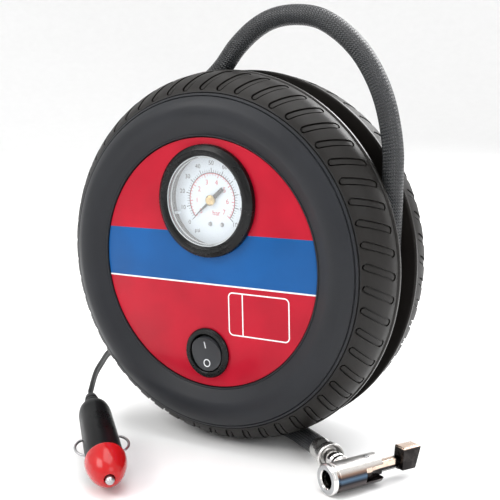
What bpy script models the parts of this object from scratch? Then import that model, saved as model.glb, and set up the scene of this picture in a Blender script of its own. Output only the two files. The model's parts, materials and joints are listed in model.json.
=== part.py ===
"""Tyre inflator in the shape of a small car tyre, with its air hose, thumb-lock chuck and 12 volt lead.

X runs to the right of the dial face, Y from the dial face to the back and Z up. The wheel stands on
the two lips of its tread. Its axis runs along Y, and its two halves meet at Y = 0.
"""

import math

import bmesh
import bpy
from mathutils import Matrix, Vector

GAP = 0.0003            # clearance between pieces that touch
SMALL_ROUND = 12        # sides of a small round piece
MEDIUM_ROUND = 16
LARGE_ROUND = 28
PLATE_ROUND = 32

# Tyre-shaped housing. Heights count from the split plane outwards, the same for both halves.
TREAD_SLOTS = 54
LIP_RADIUS = 0.0892
LIP_WIDTH = 0.0022
TREAD_RADIUS = LIP_RADIUS - 0.0006
SHOULDER_RADIUS = LIP_RADIUS - 0.0044
SHOULDER_HEIGHT = 0.0226
SEAM_RADIUS = SHOULDER_RADIUS - 0.0064
SEAM_HEIGHT = 0.0292
BULGE_RADIUS = SEAM_RADIUS - 0.0094
BULGE_HEIGHT = 0.0334
RIM_RADIUS = BULGE_RADIUS - 0.0078
RIM_HEIGHT = 0.0299
SEAT_RADIUS = RIM_RADIUS - 0.0022
FACE_HEIGHT = 0.0290    # outer face of the front plate
WALL = 0.0024
GROOVE_HALF_WIDTH = 0.0110
GROOVE_FLOOR = 0.0740
SLOT_WIDTH = 0.0034
SLOT_DEPTH = 0.0011
SLOT_SLANT = math.radians(20)
PLATE_RADIUS = SEAT_RADIUS - 0.0004
PLATE_THICKNESS = 0.0010
WALL_FACE = FACE_HEIGHT - PLATE_THICKNESS - GAP
WALL_BACK = WALL_FACE - WALL
AXLE_HEIGHT = LIP_RADIUS * math.cos(math.pi / TREAD_SLOTS)

# Screws that hold the two halves together.
SCREW_ANGLES = (90 + 45, 240, 300)
SCREW_CIRCLE = 0.0520
SCREW_HEAD_RADIUS = 0.0031
SCREW_HEAD_HEIGHT = 0.0022
SCREW_RADIUS = 0.0016
SCREW_LENGTH = 0.0200
BOSS_RADIUS = 0.0038
BOSS_TOP = 0.0110

# Cooling slots in the back wall, over the motor.
VENT_COUNT = 5
VENT_LENGTH = 0.0240
VENT_WIDTH = 0.0026
VENT_PITCH = 0.0052

# Pressure gauge in the face. Heights count from the outer face of the plate.
GAUGE_X = 0.0020
GAUGE_Z = 0.0296
BEZEL_RADIUS = 0.0262
BEZEL_HEIGHT = 0.0044
BEZEL_OPENING = 0.0209
CASE_RADIUS = 0.0226
CASE_WALL = 0.0014
CASE_DEPTH = 0.0130
CASE_RIM = 0.0012
LENS_THICKNESS = 0.0010
DIAL_DEPTH = 0.0038
DIAL_THICKNESS = 0.0006
DIAL_HOLE = 0.0019
ARBOR_RADIUS = 0.0010
NEEDLE_LENGTH = 0.0125
NEEDLE_TAIL = 0.0084
NEEDLE_THICKNESS = 0.0004
NEEDLE_LIFT = 0.0006
NEEDLE_REST = 220       # degrees, at the zero of the scale
HUB_RADIUS = 0.0025
MOVEMENT_RADIUS = 0.0090
STEM_RADIUS = 0.0040
STEM_LENGTH = 0.0060
BARB_RADIUS = 0.0016
STOP_PIN_RADIUS = 0.0011
STOP_PIN_DROP = 0.0112
STOP_PIN_X = (-0.0012, 0.0053)

# Round rocker switch.
SWITCH_Z = -0.0425
SWITCH_FLANGE = 0.0120
SWITCH_FLANGE_HEIGHT = 0.0021
SWITCH_BODY = 0.0104
SWITCH_DEPTH = 0.0130
SWITCH_POCKET = 0.0092
SWITCH_POCKET_DEPTH = 0.0045
ROCKER_RADIUS = 0.0083
ROCKER_PIVOT = 0.0002
ROCKER_TILT = 8
TERMINAL_SIZE = (0.0048, 0.0065, 0.0008)
TERMINAL_OFFSET = 0.0040

# Pump: motor, gear train, crank, piston and cylinder.
PUMP_Y = 0.0030
MOTOR_DROP = 0.0225
MOTOR_RADIUS = 0.0138
MOTOR_WALL = 0.0015
MOTOR_LEFT = -0.0450
MOTOR_RIGHT = 0.0010
MOTOR_CAP = 0.0037
SHAFT_RADIUS = 0.0015
ARMATURE_RADIUS = 0.0112
ARMATURE_ENDS = (-0.0360, -0.0060)
FRAME_THICKNESS = 0.0020
FRAME_LEFT = MOTOR_RIGHT + GAP
FRAME_RIGHT = FRAME_LEFT + FRAME_THICKNESS
SHELF_TOP = 0.0222
GEAR_LEFT = 0.0040
GEAR_RIGHT = 0.0116
GEAR_TEETH = 24
PINION_TEETH = 8
TOOTH_PITCH = 2 * MOTOR_DROP / (GEAR_TEETH + PINION_TEETH)
TOOTH_RISE = 0.0006
TOOTH_FALL = 0.0013
AXLE_RADIUS = 0.0021
CRANK_RADIUS = 0.0070
CRANK_CLEARANCE = 0.0004
CRANK_PIN_RADIUS = 0.0020
ROD_LENGTH = 0.0340
ROD_THICKNESS = 0.0054
ROD_LEFT = GEAR_RIGHT + 0.0010
PUMP_X = ROD_LEFT + ROD_THICKNESS / 2
PISTON_RADIUS = 0.0096
PISTON_PIN_RADIUS = 0.0015
BORE_RADIUS = 0.0100
CYLINDER_RADIUS = 0.0120
FLANGE_RADIUS = 0.0132
CYLINDER_TOP = 0.0500
HEAD_HEIGHT = 0.0097
CHAMBER_RADIUS = 0.0035
CHAMBER_FLOOR = 0.0530
VALVE_RADIUS = 0.0030
VALVE_THICKNESS = 0.0008
VALVE_TRAVEL = 0.0010
HEAD_BARB_REACH = 0.0168
TUBE_RADIUS = 0.0020

# Air hose, on its route round the wheel.
HOSE_RADIUS = 0.0047
HOSE_BED = GROOVE_FLOOR + HOSE_RADIUS + 0.0011
OUTLET_ANGLE = -35
OUTLET_STEM_RADIUS = 0.0038
OUTLET_INNER_END = 0.0660
OUTLET_REACH = 0.0060
HOSE_STEP = 0.0205

# Thumb-lock chuck. Distances count from its mouth, along the barrel.
MOUTH = Vector((0.0739, -0.0519, 0.0071))
BARREL_DIRECTION = Vector((0.463, 0.886, 0)).normalized()
BARREL_SIDE = Vector((BARREL_DIRECTION.y, -BARREL_DIRECTION.x, 0))
BARREL_RADIUS = 0.0067
BARREL_LENGTH = 0.0270
MOUTH_RING_RADIUS = 0.0071
MOUTH_RING_LENGTH = 0.0034
CHUCK_BORE = 0.0040
SEAL_AT = 0.0055
SEAL_LENGTH = 0.0025
PLUNGER_AT = 0.0103
LEVER_PIVOT = 0.0205
LEVER_PIVOT_SIDE = 0.0010
LEVER_PIN_RADIUS = 0.0010
CAM_RADIUS = 0.0030
LEVER_HEIGHT = 0.0056
LEVER_THICKNESS = 0.0028
PADDLE_AT = 0.0370
LEVER_END = 0.0505
PADDLE_HEIGHT = 0.0090
SLOT_HEIGHT = LEVER_HEIGHT + 2 * GAP
NECK_AT = 0.0129
NECK_DIRECTION = Vector((-0.79, 0.613, 0)).normalized()
NECK_RADIUS = 0.0042
NECK_END = 0.0220
FERRULE_RADIUS = 0.0053
FERRULE_LENGTH = 0.0100

# Power cord: gland in the back wall, coil on the floor behind the wheel, and the stretch to the plug.
CORD_RADIUS = 0.0021
CORD_LENGTH = 2.80
GLAND_X = -0.0050
GLAND_DROP = 0.0470
GLAND_FLANGE = 0.0060
GLAND_END = 0.0500
COIL_CENTRE = Vector((-0.0520, 0.0770, 0))
COIL_MEAN_RADIUS = 0.0260
COIL_LAYERS = 4
COIL_TURNS = 15.25
COIL_PITCH = 2 * CORD_RADIUS + 0.0005
COIL_FLOOR = 0.0012
COIL_START = 20
LOOP_POINTS = 18
CORD_STEP = 0.0122
TIE_ANGLE = 250
TIE_THICKNESS = 0.0008
TIE_WIDTH = 0.0040

# Lighter plug. Distances count from the face of its nose, back towards the cord.
PLUG_TIP = Vector((-0.0030, -0.0990, 0.0088))
PLUG_TAIL = Vector((-0.0565, -0.0497, 0.0216))
NOSE_RADIUS = 0.0098
NOSE_LENGTH = 0.0150
PLUG_FRONT_RADIUS = 0.0088
PLUG_REAR_RADIUS = 0.0079
PLUG_BODY_END = 0.0690
RELIEF_RADIUS = 0.0036
TIP_RADIUS = 0.0019
TIP_REACH = 0.0025
TIP_TRAVEL = 0.0020
FUSE_RADIUS = 0.0026
FUSE_LENGTH = 0.0250
CONTACT_AT = 0.0165
CONTACT_LENGTH = 0.0130
CONTACT_REACH = 0.0032
CONTACT_WIRE = 0.00055
CONTACT_TRAVEL = 0.0015


def wheel_point(radius, degrees, depth=0.0):
    """A point at a radius and angle about the wheel's axis."""
    angle = math.radians(degrees)
    return Vector((radius * math.cos(angle), depth, AXLE_HEIGHT + radius * math.sin(angle)))


def aimed(origin, along, side=(1, 0, 0)):
    """A placement whose Z axis runs along a direction and whose X axis keeps close to a side."""
    z_axis = Vector(along).normalized()
    y_axis = z_axis.cross(Vector(side)).normalized()
    x_axis = y_axis.cross(z_axis)
    turn = Matrix((x_axis, y_axis, z_axis)).transposed().to_4x4()
    return Matrix.Translation(origin) @ turn


def face_place(x, z):
    """A placement on the outer face of the plate, with Z out of the face and X to the right."""
    return aimed((x, -FACE_HEIGHT, AXLE_HEIGHT + z), (0, -1, 0))


def pump_place(z=0.0):
    """A placement on the pump's plane, with Z along the gear and motor axes."""
    return aimed((0, PUMP_Y, AXLE_HEIGHT + z), (1, 0, 0), (0, 1, 0))


def collection(name):
    made = bpy.data.collections.new(name)
    bpy.context.scene.collection.children.link(made)
    return made


def material(name, colour, roughness, metallic=0.0, transmission=0.0):
    made = bpy.data.materials.get(name)
    if made is None:
        made = bpy.data.materials.new(name)
        made.use_nodes = True
        shader = made.node_tree.nodes["Principled BSDF"]
        shader.inputs["Base Color"].default_value = (*colour, 1)
        shader.inputs["Roughness"].default_value = roughness
        shader.inputs["Metallic"].default_value = metallic
        shader.inputs["Transmission Weight"].default_value = transmission
        made.diffuse_color = (*colour, 1)
        made.metallic = metallic
        made.roughness = roughness
    return made


def tyre_black():
    return material("tyre black plastic", (0.030, 0.031, 0.034), 0.48)


def plain_black():
    return material("black plastic", (0.012, 0.012, 0.013), 0.38)


def plate_red():
    return material("red printed plate", (0.56, 0.012, 0.030), 0.30)


def plug_red():
    return material("red gloss plastic", (0.72, 0.014, 0.018), 0.16)


def chrome():
    return material("chrome", (0.75, 0.75, 0.76), 0.09, 1.0)


def steel():
    return material("steel", (0.55, 0.55, 0.56), 0.30, 1.0)


def brass():
    return material("brass", (0.72, 0.52, 0.22), 0.28, 1.0)


def aluminium():
    return material("aluminium", (0.66, 0.67, 0.68), 0.38, 1.0)


def nylon():
    return material("nylon", (0.78, 0.77, 0.72), 0.45)


def rubber():
    return material("rubber", (0.016, 0.016, 0.017), 0.60)


def braid():
    return material("braided hose", (0.020, 0.022, 0.026), 0.52)


def dial_white():
    return material("dial white", (0.80, 0.86, 0.90), 0.50)


def clear_plastic():
    return material("clear plastic", (0.93, 0.95, 0.96), 0.03, 0.0, 0.95)


def glass():
    return material("glass", (0.90, 0.93, 0.92), 0.03, 0.0, 0.9)


def add_part(name, data, look, place=None):
    """Links a new object to the inflator's collection, in its place and with its material."""
    obj = bpy.data.objects.new(name, data)
    obj.matrix_world = Matrix() if place is None else place
    data.materials.append(look)
    PARTS.objects.link(obj)
    return obj


def settle(obj, sharp_degrees=32):
    """Swaps a curve or a live modifier for its mesh, with caps welded and edges sharp by angle."""
    bpy.context.view_layer.update()
    graph = bpy.context.evaluated_depsgraph_get()
    mesh = bpy.data.meshes.new_from_object(obj.evaluated_get(graph))
    shape = bmesh.new()
    shape.from_mesh(mesh)
    bmesh.ops.remove_doubles(shape, verts=shape.verts, dist=0.000002)
    bmesh.ops.dissolve_degenerate(shape, edges=shape.edges, dist=0.000002)
    shape.to_mesh(mesh)
    shape.free()
    mesh.shade_smooth()
    mesh.set_sharp_from_angle(angle=math.radians(sharp_degrees))
    solid = bpy.data.objects.new(obj.name, mesh)
    solid.matrix_world = obj.matrix_world.copy()
    PARTS.objects.link(solid)
    name = obj.name
    bpy.data.objects.remove(obj, do_unlink=True)
    solid.name = name
    return solid


def outer_side_first(profile):
    """The same profile, in the order that turns it right side out."""
    area = 0.0
    for (radius, height), (next_radius, next_height) in zip(profile, profile[1:] + profile[:1]):
        area += radius * next_height - next_radius * height
    return profile if area < 0 else profile[::-1]


def turned(name, profile, place, look, steps=SMALL_ROUND):
    """A solid of revolution about the placement's Z axis, from (radius, height) points.

    The profile is a closed ring, or starts and ends on the axis.
    """
    ring = outer_side_first(profile)
    shape = bmesh.new()
    verts = [shape.verts.new((radius, 0, height)) for radius, height in ring]
    for start, end in zip(verts, verts[1:]):
        shape.edges.new((start, end))
    if min(radius for radius, _ in ring) > 0:
        shape.edges.new((verts[-1], verts[0]))
    mesh = bpy.data.meshes.new(name)
    shape.to_mesh(mesh)
    shape.free()
    obj = add_part(name, mesh, look, place)
    screw = obj.modifiers.new("turn", "SCREW")
    screw.axis = "Z"
    screw.steps = steps
    screw.render_steps = steps
    screw.use_merge_vertices = True
    screw.merge_threshold = 0.00001
    return settle(obj)


def rod(name, radius, low, high, place, look, steps=SMALL_ROUND):
    """A plain cylinder between two heights on the placement's Z axis."""
    return turned(name, [(0, high), (radius, high), (radius, low), (0, low)], place, look, steps)


def plate(name, outline, low, high, place, look, holes=()):
    """A flat piece cut to an outline in the placement's XY plane, between two heights."""
    curve = bpy.data.curves.new(name, "CURVE")
    curve.dimensions = "2D"
    curve.fill_mode = "BOTH"
    curve.extrude = (high - low) / 2
    for ring in (outline, *holes):
        spline = curve.splines.new("POLY")
        spline.points.add(len(ring) - 1)
        for point, (x, y) in zip(spline.points, ring):
            point.co = (x, y, 0, 1)
        spline.use_cyclic_u = True
    middle = Matrix.Translation((0, 0, (high + low) / 2))
    return settle(add_part(name, curve, look, place @ middle))


def circle(x, y, radius, steps=SMALL_ROUND, start=0, sweep=360):
    """Points round a circle, or along an arc of it with both of its ends."""
    count = steps if sweep == 360 else steps + 1
    angles = [math.radians(start + sweep * index / steps) for index in range(count)]
    return [(x + radius * math.cos(angle), y + radius * math.sin(angle)) for angle in angles]


def block(name, low, high, place, look, bevel=0.0):
    """A box between two corners, with its edges bevelled if a width is given."""
    size = Vector(high) - Vector(low)
    shape = bmesh.new()
    bmesh.ops.create_cube(shape, size=1)
    bmesh.ops.scale(shape, vec=size, verts=shape.verts)
    bmesh.ops.translate(shape, vec=(Vector(high) + Vector(low)) / 2, verts=shape.verts)
    mesh = bpy.data.meshes.new(name)
    shape.to_mesh(mesh)
    shape.free()
    obj = add_part(name, mesh, look, place)
    if bevel:
        edge = obj.modifiers.new("bevel", "BEVEL")
        edge.width = bevel
        edge.segments = 1
        edge.limit_method = "NONE"
    return settle(obj)


def tube(name, points, radius, look, resolution=2):
    """A round bar along a list of points, with filled caps."""
    curve = bpy.data.curves.new(name, "CURVE")
    curve.dimensions = "3D"
    curve.bevel_depth = radius
    curve.bevel_resolution = resolution
    curve.use_fill_caps = True
    spline = curve.splines.new("POLY")
    spline.points.add(len(points) - 1)
    for point, place in zip(spline.points, points):
        point.co = (*place, 1)
    obj = add_part(name, curve, look)
    for segment in curve.splines:
        segment.use_smooth = True
    return obj


def combine(target, tool, operation):
    """Cuts, joins or trims a part with another solid, which stays as a hidden helper."""
    TOOLS.objects.link(tool)
    PARTS.objects.unlink(tool)
    tool.hide_render = True
    tool.display_type = "WIRE"
    change = target.modifiers.new(tool.name, "BOOLEAN")
    change.operation = operation
    change.object = tool
    change.solver = "EXACT"


def cut(target, tool):
    combine(target, tool, "DIFFERENCE")


def join(target, tool):
    combine(target, tool, "UNION")


def trim(target, tool):
    combine(target, tool, "INTERSECT")


def smooth_route(points, step):
    """Points about a step apart on a smooth curve through the route, whose two end legs stay straight."""
    first, *between, last = [Vector(point) for point in points]
    return [first, *smooth_line(between, step), last]


def smooth_line(route, step):
    """Points about a step apart on a smooth curve through the route's own points."""
    ends = [2 * route[0] - route[1], *route, 2 * route[-1] - route[-2]]
    fine = []
    for before, start, end, after in zip(ends, ends[1:], ends[2:], ends[3:]):
        for index in range(24):
            t = index / 24
            fine.append(
                0.5
                * (
                    2 * start
                    + (end - before) * t
                    + (2 * before - 5 * start + 4 * end - after) * t**2
                    + (3 * start - before - 3 * end + after) * t**3
                )
            )
    fine.append(route[-1])
    return evenly_spaced(fine, step)


def evenly_spaced(fine, step):
    """The same line with its points an even distance apart, and with its two ends kept."""
    lengths = [0.0]
    for start, end in zip(fine, fine[1:]):
        lengths.append(lengths[-1] + (end - start).length)
    count = max(2, round(lengths[-1] / step))
    spaced = []
    index = 0
    for number in range(count + 1):
        wanted = lengths[-1] * number / count
        while index < len(fine) - 2 and lengths[index + 1] < wanted:
            index += 1
        share = (wanted - lengths[index]) / max(lengths[index + 1] - lengths[index], 1e-9)
        spaced.append(fine[index].lerp(fine[index + 1], min(share, 1.0)))
    return spaced


def route_length(points):
    return sum((end - start).length for start, end in zip(points, points[1:]))


def half_profile():
    """Section of one tyre half: outer skin from the groove floor round to the face wall, then the inside."""
    corner = GROOVE_FLOOR - 0.0022
    side = GROOVE_HALF_WIDTH + WALL
    outside = [
        (GROOVE_FLOOR, GAP / 2),
        (GROOVE_FLOOR, GROOVE_HALF_WIDTH),
        (LIP_RADIUS, GROOVE_HALF_WIDTH),
        (LIP_RADIUS, GROOVE_HALF_WIDTH + LIP_WIDTH),
        (SHOULDER_RADIUS, SHOULDER_HEIGHT),
        (SEAM_RADIUS, SEAM_HEIGHT),
        (SEAM_RADIUS - 0.0034, SEAM_HEIGHT + 0.0030),
        (BULGE_RADIUS, BULGE_HEIGHT),
        (RIM_RADIUS, RIM_HEIGHT),
        (SEAT_RADIUS, RIM_HEIGHT),
        (SEAT_RADIUS, WALL_FACE),
        (0, WALL_FACE),
    ]
    inside = [
        (0, WALL_BACK),
        (RIM_RADIUS, WALL_BACK),
        (BULGE_RADIUS - 0.0010, BULGE_HEIGHT - 0.0034),
        (SEAM_RADIUS - 0.0044, SEAM_HEIGHT),
        (SEAM_RADIUS + 0.0020, SEAM_HEIGHT - 0.0060),
        (TREAD_RADIUS - 0.0024, side),
        (corner, side),
        (corner, GAP / 2),
    ]
    return inside + outside


def slot_cutters(name, place):
    """Cutters for the ring of tread slots, which run aslant from the seam back to the lip."""
    front = Vector((SEAM_RADIUS + 0.0024, SEAM_HEIGHT - 0.0020))
    back = Vector((TREAD_RADIUS + 0.0002, GROOVE_HALF_WIDTH + 0.0040))
    length = (back - front).length
    lean = math.atan2(front.y - back.y, back.x - front.x)
    half = SLOT_WIDTH / 2
    outline = [(-half, -half), (length, -half), (length, half), (-half, half)]
    shape = bmesh.new()
    for index in range(TREAD_SLOTS):
        spin = Matrix.Rotation(2 * math.pi * (index + 0.5) / TREAD_SLOTS, 4, "Z")
        tilt = Matrix.Translation((front.x, 0, front.y)) @ Matrix.Rotation(lean, 4, "Y")
        slant = Matrix.Rotation(-SLOT_SLANT, 4, "Z")
        ring = [shape.verts.new((x, y, -SLOT_DEPTH)) for x, y in outline]
        floor = shape.faces.new(ring)
        grown = bmesh.ops.extrude_face_region(shape, geom=[floor])["geom"]
        top = [item for item in grown if isinstance(item, bmesh.types.BMVert)]
        bmesh.ops.translate(shape, vec=(0, 0, SLOT_DEPTH + 0.0060), verts=top)
        bmesh.ops.transform(shape, matrix=spin @ tilt @ slant, verts=ring + top)
    bmesh.ops.recalc_face_normals(shape, faces=shape.faces)
    mesh = bpy.data.meshes.new(name)
    shape.to_mesh(mesh)
    shape.free()
    return add_part(name, mesh, tyre_black(), place)


def screw_points():
    return [wheel_point(SCREW_CIRCLE, angle) for angle in SCREW_ANGLES]


def build_front_housing():
    place = aimed((0, 0, AXLE_HEIGHT), (0, -1, 0))
    half = turned("front_housing", half_profile(), place, tyre_black(), TREAD_SLOTS)
    cut(half, slot_cutters("front_slot_cutters", place))
    for index, spot in enumerate(screw_points()):
        boss = aimed(spot, (0, 1, 0))
        join(half, rod(f"boss_{index}", BOSS_RADIUS, -WALL_BACK - 0.0010, BOSS_TOP, boss, tyre_black()))
        drilled = SCREW_RADIUS + GAP
        depth = WALL_FACE + GAP - SCREW_LENGTH - GAP
        cut(half, rod(f"boss_bore_{index}", drilled, depth, BOSS_TOP + 0.001, boss, tyre_black()))
    gauge = face_place(GAUGE_X, GAUGE_Z)
    switch = face_place(0, SWITCH_Z)
    deep = -PLATE_THICKNESS - WALL - 0.002
    cut(half, rod("gauge_hole", CASE_RADIUS + GAP, deep, 0.001, gauge, tyre_black(), LARGE_ROUND))
    cut(half, rod("switch_hole", SWITCH_BODY + GAP, deep, 0.001, switch, tyre_black(), MEDIUM_ROUND))
    cut(half, outlet_hole("front_outlet_hole"))


def build_rear_housing():
    place = aimed((0, 0, AXLE_HEIGHT), (0, 1, 0))
    half = turned("rear_housing", half_profile(), place, tyre_black(), TREAD_SLOTS)
    cut(half, slot_cutters("rear_slot_cutters", place))
    for index, spot in enumerate(screw_points()):
        hole = aimed(spot, (0, 1, 0))
        cut(half, rod(f"screw_hole_{index}", SCREW_RADIUS + GAP, 0.010, 0.035, hole, tyre_black()))
    middle = (MOTOR_LEFT + MOTOR_RIGHT) / 2
    for index in range(VENT_COUNT):
        z = -MOTOR_DROP + VENT_PITCH * (index - (VENT_COUNT - 1) / 2)
        low = (middle - VENT_LENGTH / 2, WALL_BACK - 0.001, AXLE_HEIGHT + z - VENT_WIDTH / 2)
        high = (middle + VENT_LENGTH / 2, WALL_FACE + 0.001, AXLE_HEIGHT + z + VENT_WIDTH / 2)
        cut(half, block(f"vent_{index}", low, high, Matrix(), tyre_black()))
    gland = aimed((GLAND_X, 0, AXLE_HEIGHT - GLAND_DROP), (0, 1, 0))
    sleeve = GLAND_FLANGE - 0.0020
    cut(half, rod("gland_hole", sleeve + GAP, 0.010, 0.035, gland, tyre_black()))
    cut(half, outlet_hole("rear_outlet_hole"))


def outlet_hole(name):
    """Cutter for the hole in the groove floor that the hose outlet comes through."""
    out = wheel_point(1, OUTLET_ANGLE) - wheel_point(0, 0)
    place = aimed(wheel_point(0, 0), out, (0, 1, 0))
    return rod(name, OUTLET_STEM_RADIUS + GAP, 0.060, 0.080, place, tyre_black(), 16)


def build_face_plate():
    place = face_place(0, 0)
    ring = [(0, 0), (PLATE_RADIUS, 0), (PLATE_RADIUS, -PLATE_THICKNESS), (0, -PLATE_THICKNESS)]
    face = turned("face_plate", ring, place, plate_red(), PLATE_ROUND)
    gauge = face_place(GAUGE_X, GAUGE_Z)
    switch = face_place(0, SWITCH_Z)
    cut(face, rod("plate_gauge_hole", CASE_RADIUS + GAP, -0.003, 0.003, gauge, plate_red(), LARGE_ROUND))
    cut(face, rod("plate_switch_hole", SWITCH_BODY + GAP, -0.003, 0.003, switch, plate_red(), MEDIUM_ROUND))


def build_housing_screws():
    seat = WALL_FACE + GAP
    profile = [
        (0, seat + SCREW_HEAD_HEIGHT),
        (SCREW_HEAD_RADIUS - 0.0006, seat + SCREW_HEAD_HEIGHT),
        (SCREW_HEAD_RADIUS, seat),
        (SCREW_RADIUS, seat),
        (SCREW_RADIUS, seat - SCREW_LENGTH),
        (0, seat - SCREW_LENGTH),
    ]
    for index, spot in enumerate(screw_points()):
        turned(f"housing_screw_{index + 1}", profile, aimed(spot, (0, 1, 0)), steel(), SMALL_ROUND)


def build_gauge():
    place = face_place(GAUGE_X, GAUGE_Z)
    lip = CASE_RIM + LENS_THICKNESS + 2 * GAP
    bezel = [
        (BEZEL_RADIUS, GAP),
        (BEZEL_RADIUS - 0.0003, BEZEL_HEIGHT - 0.0018),
        (BEZEL_RADIUS - 0.0028, BEZEL_HEIGHT),
        (BEZEL_OPENING + 0.0005, BEZEL_HEIGHT - 0.0006),
        (BEZEL_OPENING, lip),
        (CASE_RADIUS + GAP, lip),
        (CASE_RADIUS + GAP, GAP),
    ]
    turned("gauge_bezel", bezel, place, plain_black(), LARGE_ROUND)
    lens_low = CASE_RIM + GAP
    rod("gauge_lens", CASE_RADIUS - GAP, lens_low, lens_low + LENS_THICKNESS, place, glass(), LARGE_ROUND)
    inner = CASE_RADIUS - CASE_WALL
    back = -CASE_DEPTH
    stem_hole = STEM_RADIUS + GAP
    case = [
        (CASE_RADIUS, CASE_RIM),
        (CASE_RADIUS, back),
        (stem_hole, back),
        (stem_hole, back + CASE_WALL),
        (inner, back + CASE_WALL),
        (inner, CASE_RIM),
    ]
    turned("gauge_case", case, place, clear_plastic(), LARGE_ROUND)
    dial_back = -DIAL_DEPTH - DIAL_THICKNESS
    dial = [
        (inner - GAP, -DIAL_DEPTH),
        (inner - GAP, dial_back),
        (DIAL_HOLE, dial_back),
        (DIAL_HOLE, -DIAL_DEPTH),
    ]
    turned("gauge_dial", dial, place, dial_white(), LARGE_ROUND)
    arbor_end = dial_back - 0.0043
    movement = [
        (MOVEMENT_RADIUS, dial_back - GAP),
        (MOVEMENT_RADIUS, back + CASE_WALL + GAP),
        (STEM_RADIUS, back + CASE_WALL + GAP),
        (STEM_RADIUS, back - STEM_LENGTH / 2),
        (BARB_RADIUS, back - STEM_LENGTH / 2),
        (BARB_RADIUS, back - STEM_LENGTH),
        (0, back - STEM_LENGTH),
    ]
    bore = [
        (0, arbor_end - GAP),
        (ARBOR_RADIUS + GAP, arbor_end - GAP),
        (ARBOR_RADIUS + GAP, dial_back - GAP),
    ]
    turned("gauge_movement", bore + movement, place, brass(), SMALL_ROUND)
    needle_low = -DIAL_DEPTH + NEEDLE_LIFT
    needle_high = needle_low + NEEDLE_THICKNESS
    build_needle(place, needle_low, needle_high)
    knob = needle_high + GAP
    hub = [
        (0, knob + 0.0013),
        (HUB_RADIUS - 0.0009, knob + 0.0013),
        (HUB_RADIUS, knob + 0.0007),
        (HUB_RADIUS, knob),
        (ARBOR_RADIUS, knob),
        (ARBOR_RADIUS, arbor_end),
        (0, arbor_end),
    ]
    turned("gauge_needle_hub", hub, place, brass())
    for side, x in zip(("left", "right"), STOP_PIN_X):
        pin = face_place(GAUGE_X + x, GAUGE_Z - STOP_PIN_DROP)
        low = -DIAL_DEPTH + GAP
        dome = [(0, low + 0.0010), (STOP_PIN_RADIUS / 2, low + 0.0009), (STOP_PIN_RADIUS, low), (0, low)]
        turned(f"gauge_stop_pin_{side}", dome, pin, steel(), 12)


def build_needle(place, low, high):
    """The pointer lies at the zero of the scale, with its ribbed tail on the other side of the hub."""
    rest = Matrix.Rotation(math.radians(NEEDLE_REST), 4, "Z")
    waist = 0.00032
    tail = 0.00115
    ring = ARBOR_RADIUS + GAP + 0.0007
    outline = [
        (NEEDLE_LENGTH, 0.00012),
        (ring * 0.98, waist),
        *circle(0, 0, ring, 4, 40, 100),
        (-ring - 0.0012, tail),
        (-NEEDLE_TAIL, tail),
        (-NEEDLE_TAIL, -tail),
        (-ring - 0.0012, -tail),
        *circle(0, 0, ring, 4, 220, 100),
        (ring * 0.98, -waist),
        (NEEDLE_LENGTH, -0.00012),
    ]
    hole = circle(0, 0, ARBOR_RADIUS + GAP, 12)
    plate("gauge_needle", outline, low, high, place @ rest, plain_black(), [hole])


def build_switch():
    place = face_place(0, SWITCH_Z)
    body = [
        (SWITCH_POCKET, SWITCH_FLANGE_HEIGHT),
        (SWITCH_FLANGE - 0.0009, SWITCH_FLANGE_HEIGHT),
        (SWITCH_FLANGE, SWITCH_FLANGE_HEIGHT - 0.0008),
        (SWITCH_FLANGE, GAP),
        (SWITCH_BODY, GAP),
        (SWITCH_BODY, -SWITCH_DEPTH),
        (0, -SWITCH_DEPTH),
    ]
    floor = [(0, -SWITCH_POCKET_DEPTH), (SWITCH_POCKET, -SWITCH_POCKET_DEPTH)]
    turned("switch_body", floor + body, place, plain_black(), MEDIUM_ROUND)
    tilt = place @ Matrix.Translation((0, 0, ROCKER_PIVOT)) @ Matrix.Rotation(math.radians(ROCKER_TILT), 4, "X")
    end = ROCKER_RADIUS + 0.0005
    section = [
        (-end, 0.0026),
        (0, 0.0014),
        (end, 0.0026),
        (end, -0.0014),
        (0.0030, -0.0034),
        (-0.0030, -0.0034),
        (-end, -0.0014),
    ]
    upright = tilt @ aimed((0, 0, 0), (-1, 0, 0), (0, 1, 0))
    rocker = plate("switch_rocker", section, -0.0080, 0.0080, upright, plain_black())
    trim(rocker, rod("rocker_outline", ROCKER_RADIUS, -0.010, 0.010, tilt, plain_black(), MEDIUM_ROUND))
    across, reach, thick = TERMINAL_SIZE
    for label, z in (("upper", TERMINAL_OFFSET), ("lower", -TERMINAL_OFFSET)):
        high = -SWITCH_DEPTH - GAP
        low = (-across / 2, z - thick / 2, high - reach)
        block(f"switch_terminal_{label}", low, (across / 2, z + thick / 2, high), place, brass())


def toothed(teeth, phase):
    """Outline of a spur gear with straight-sided teeth, one tooth centred on the phase angle."""
    pitch_radius = TOOTH_PITCH * teeth / 2
    root = pitch_radius - TOOTH_FALL
    tip = pitch_radius + TOOTH_RISE
    outline = []
    for tooth in range(teeth):
        centre = phase + 360 * tooth / teeth
        for radius, width in ((root, -0.00095), (tip, -0.00045), (tip, 0.00045), (root, 0.00095)):
            angle = math.radians(centre) + width / radius
            outline.append((radius * math.cos(angle), radius * math.sin(angle)))
    return outline


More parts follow.
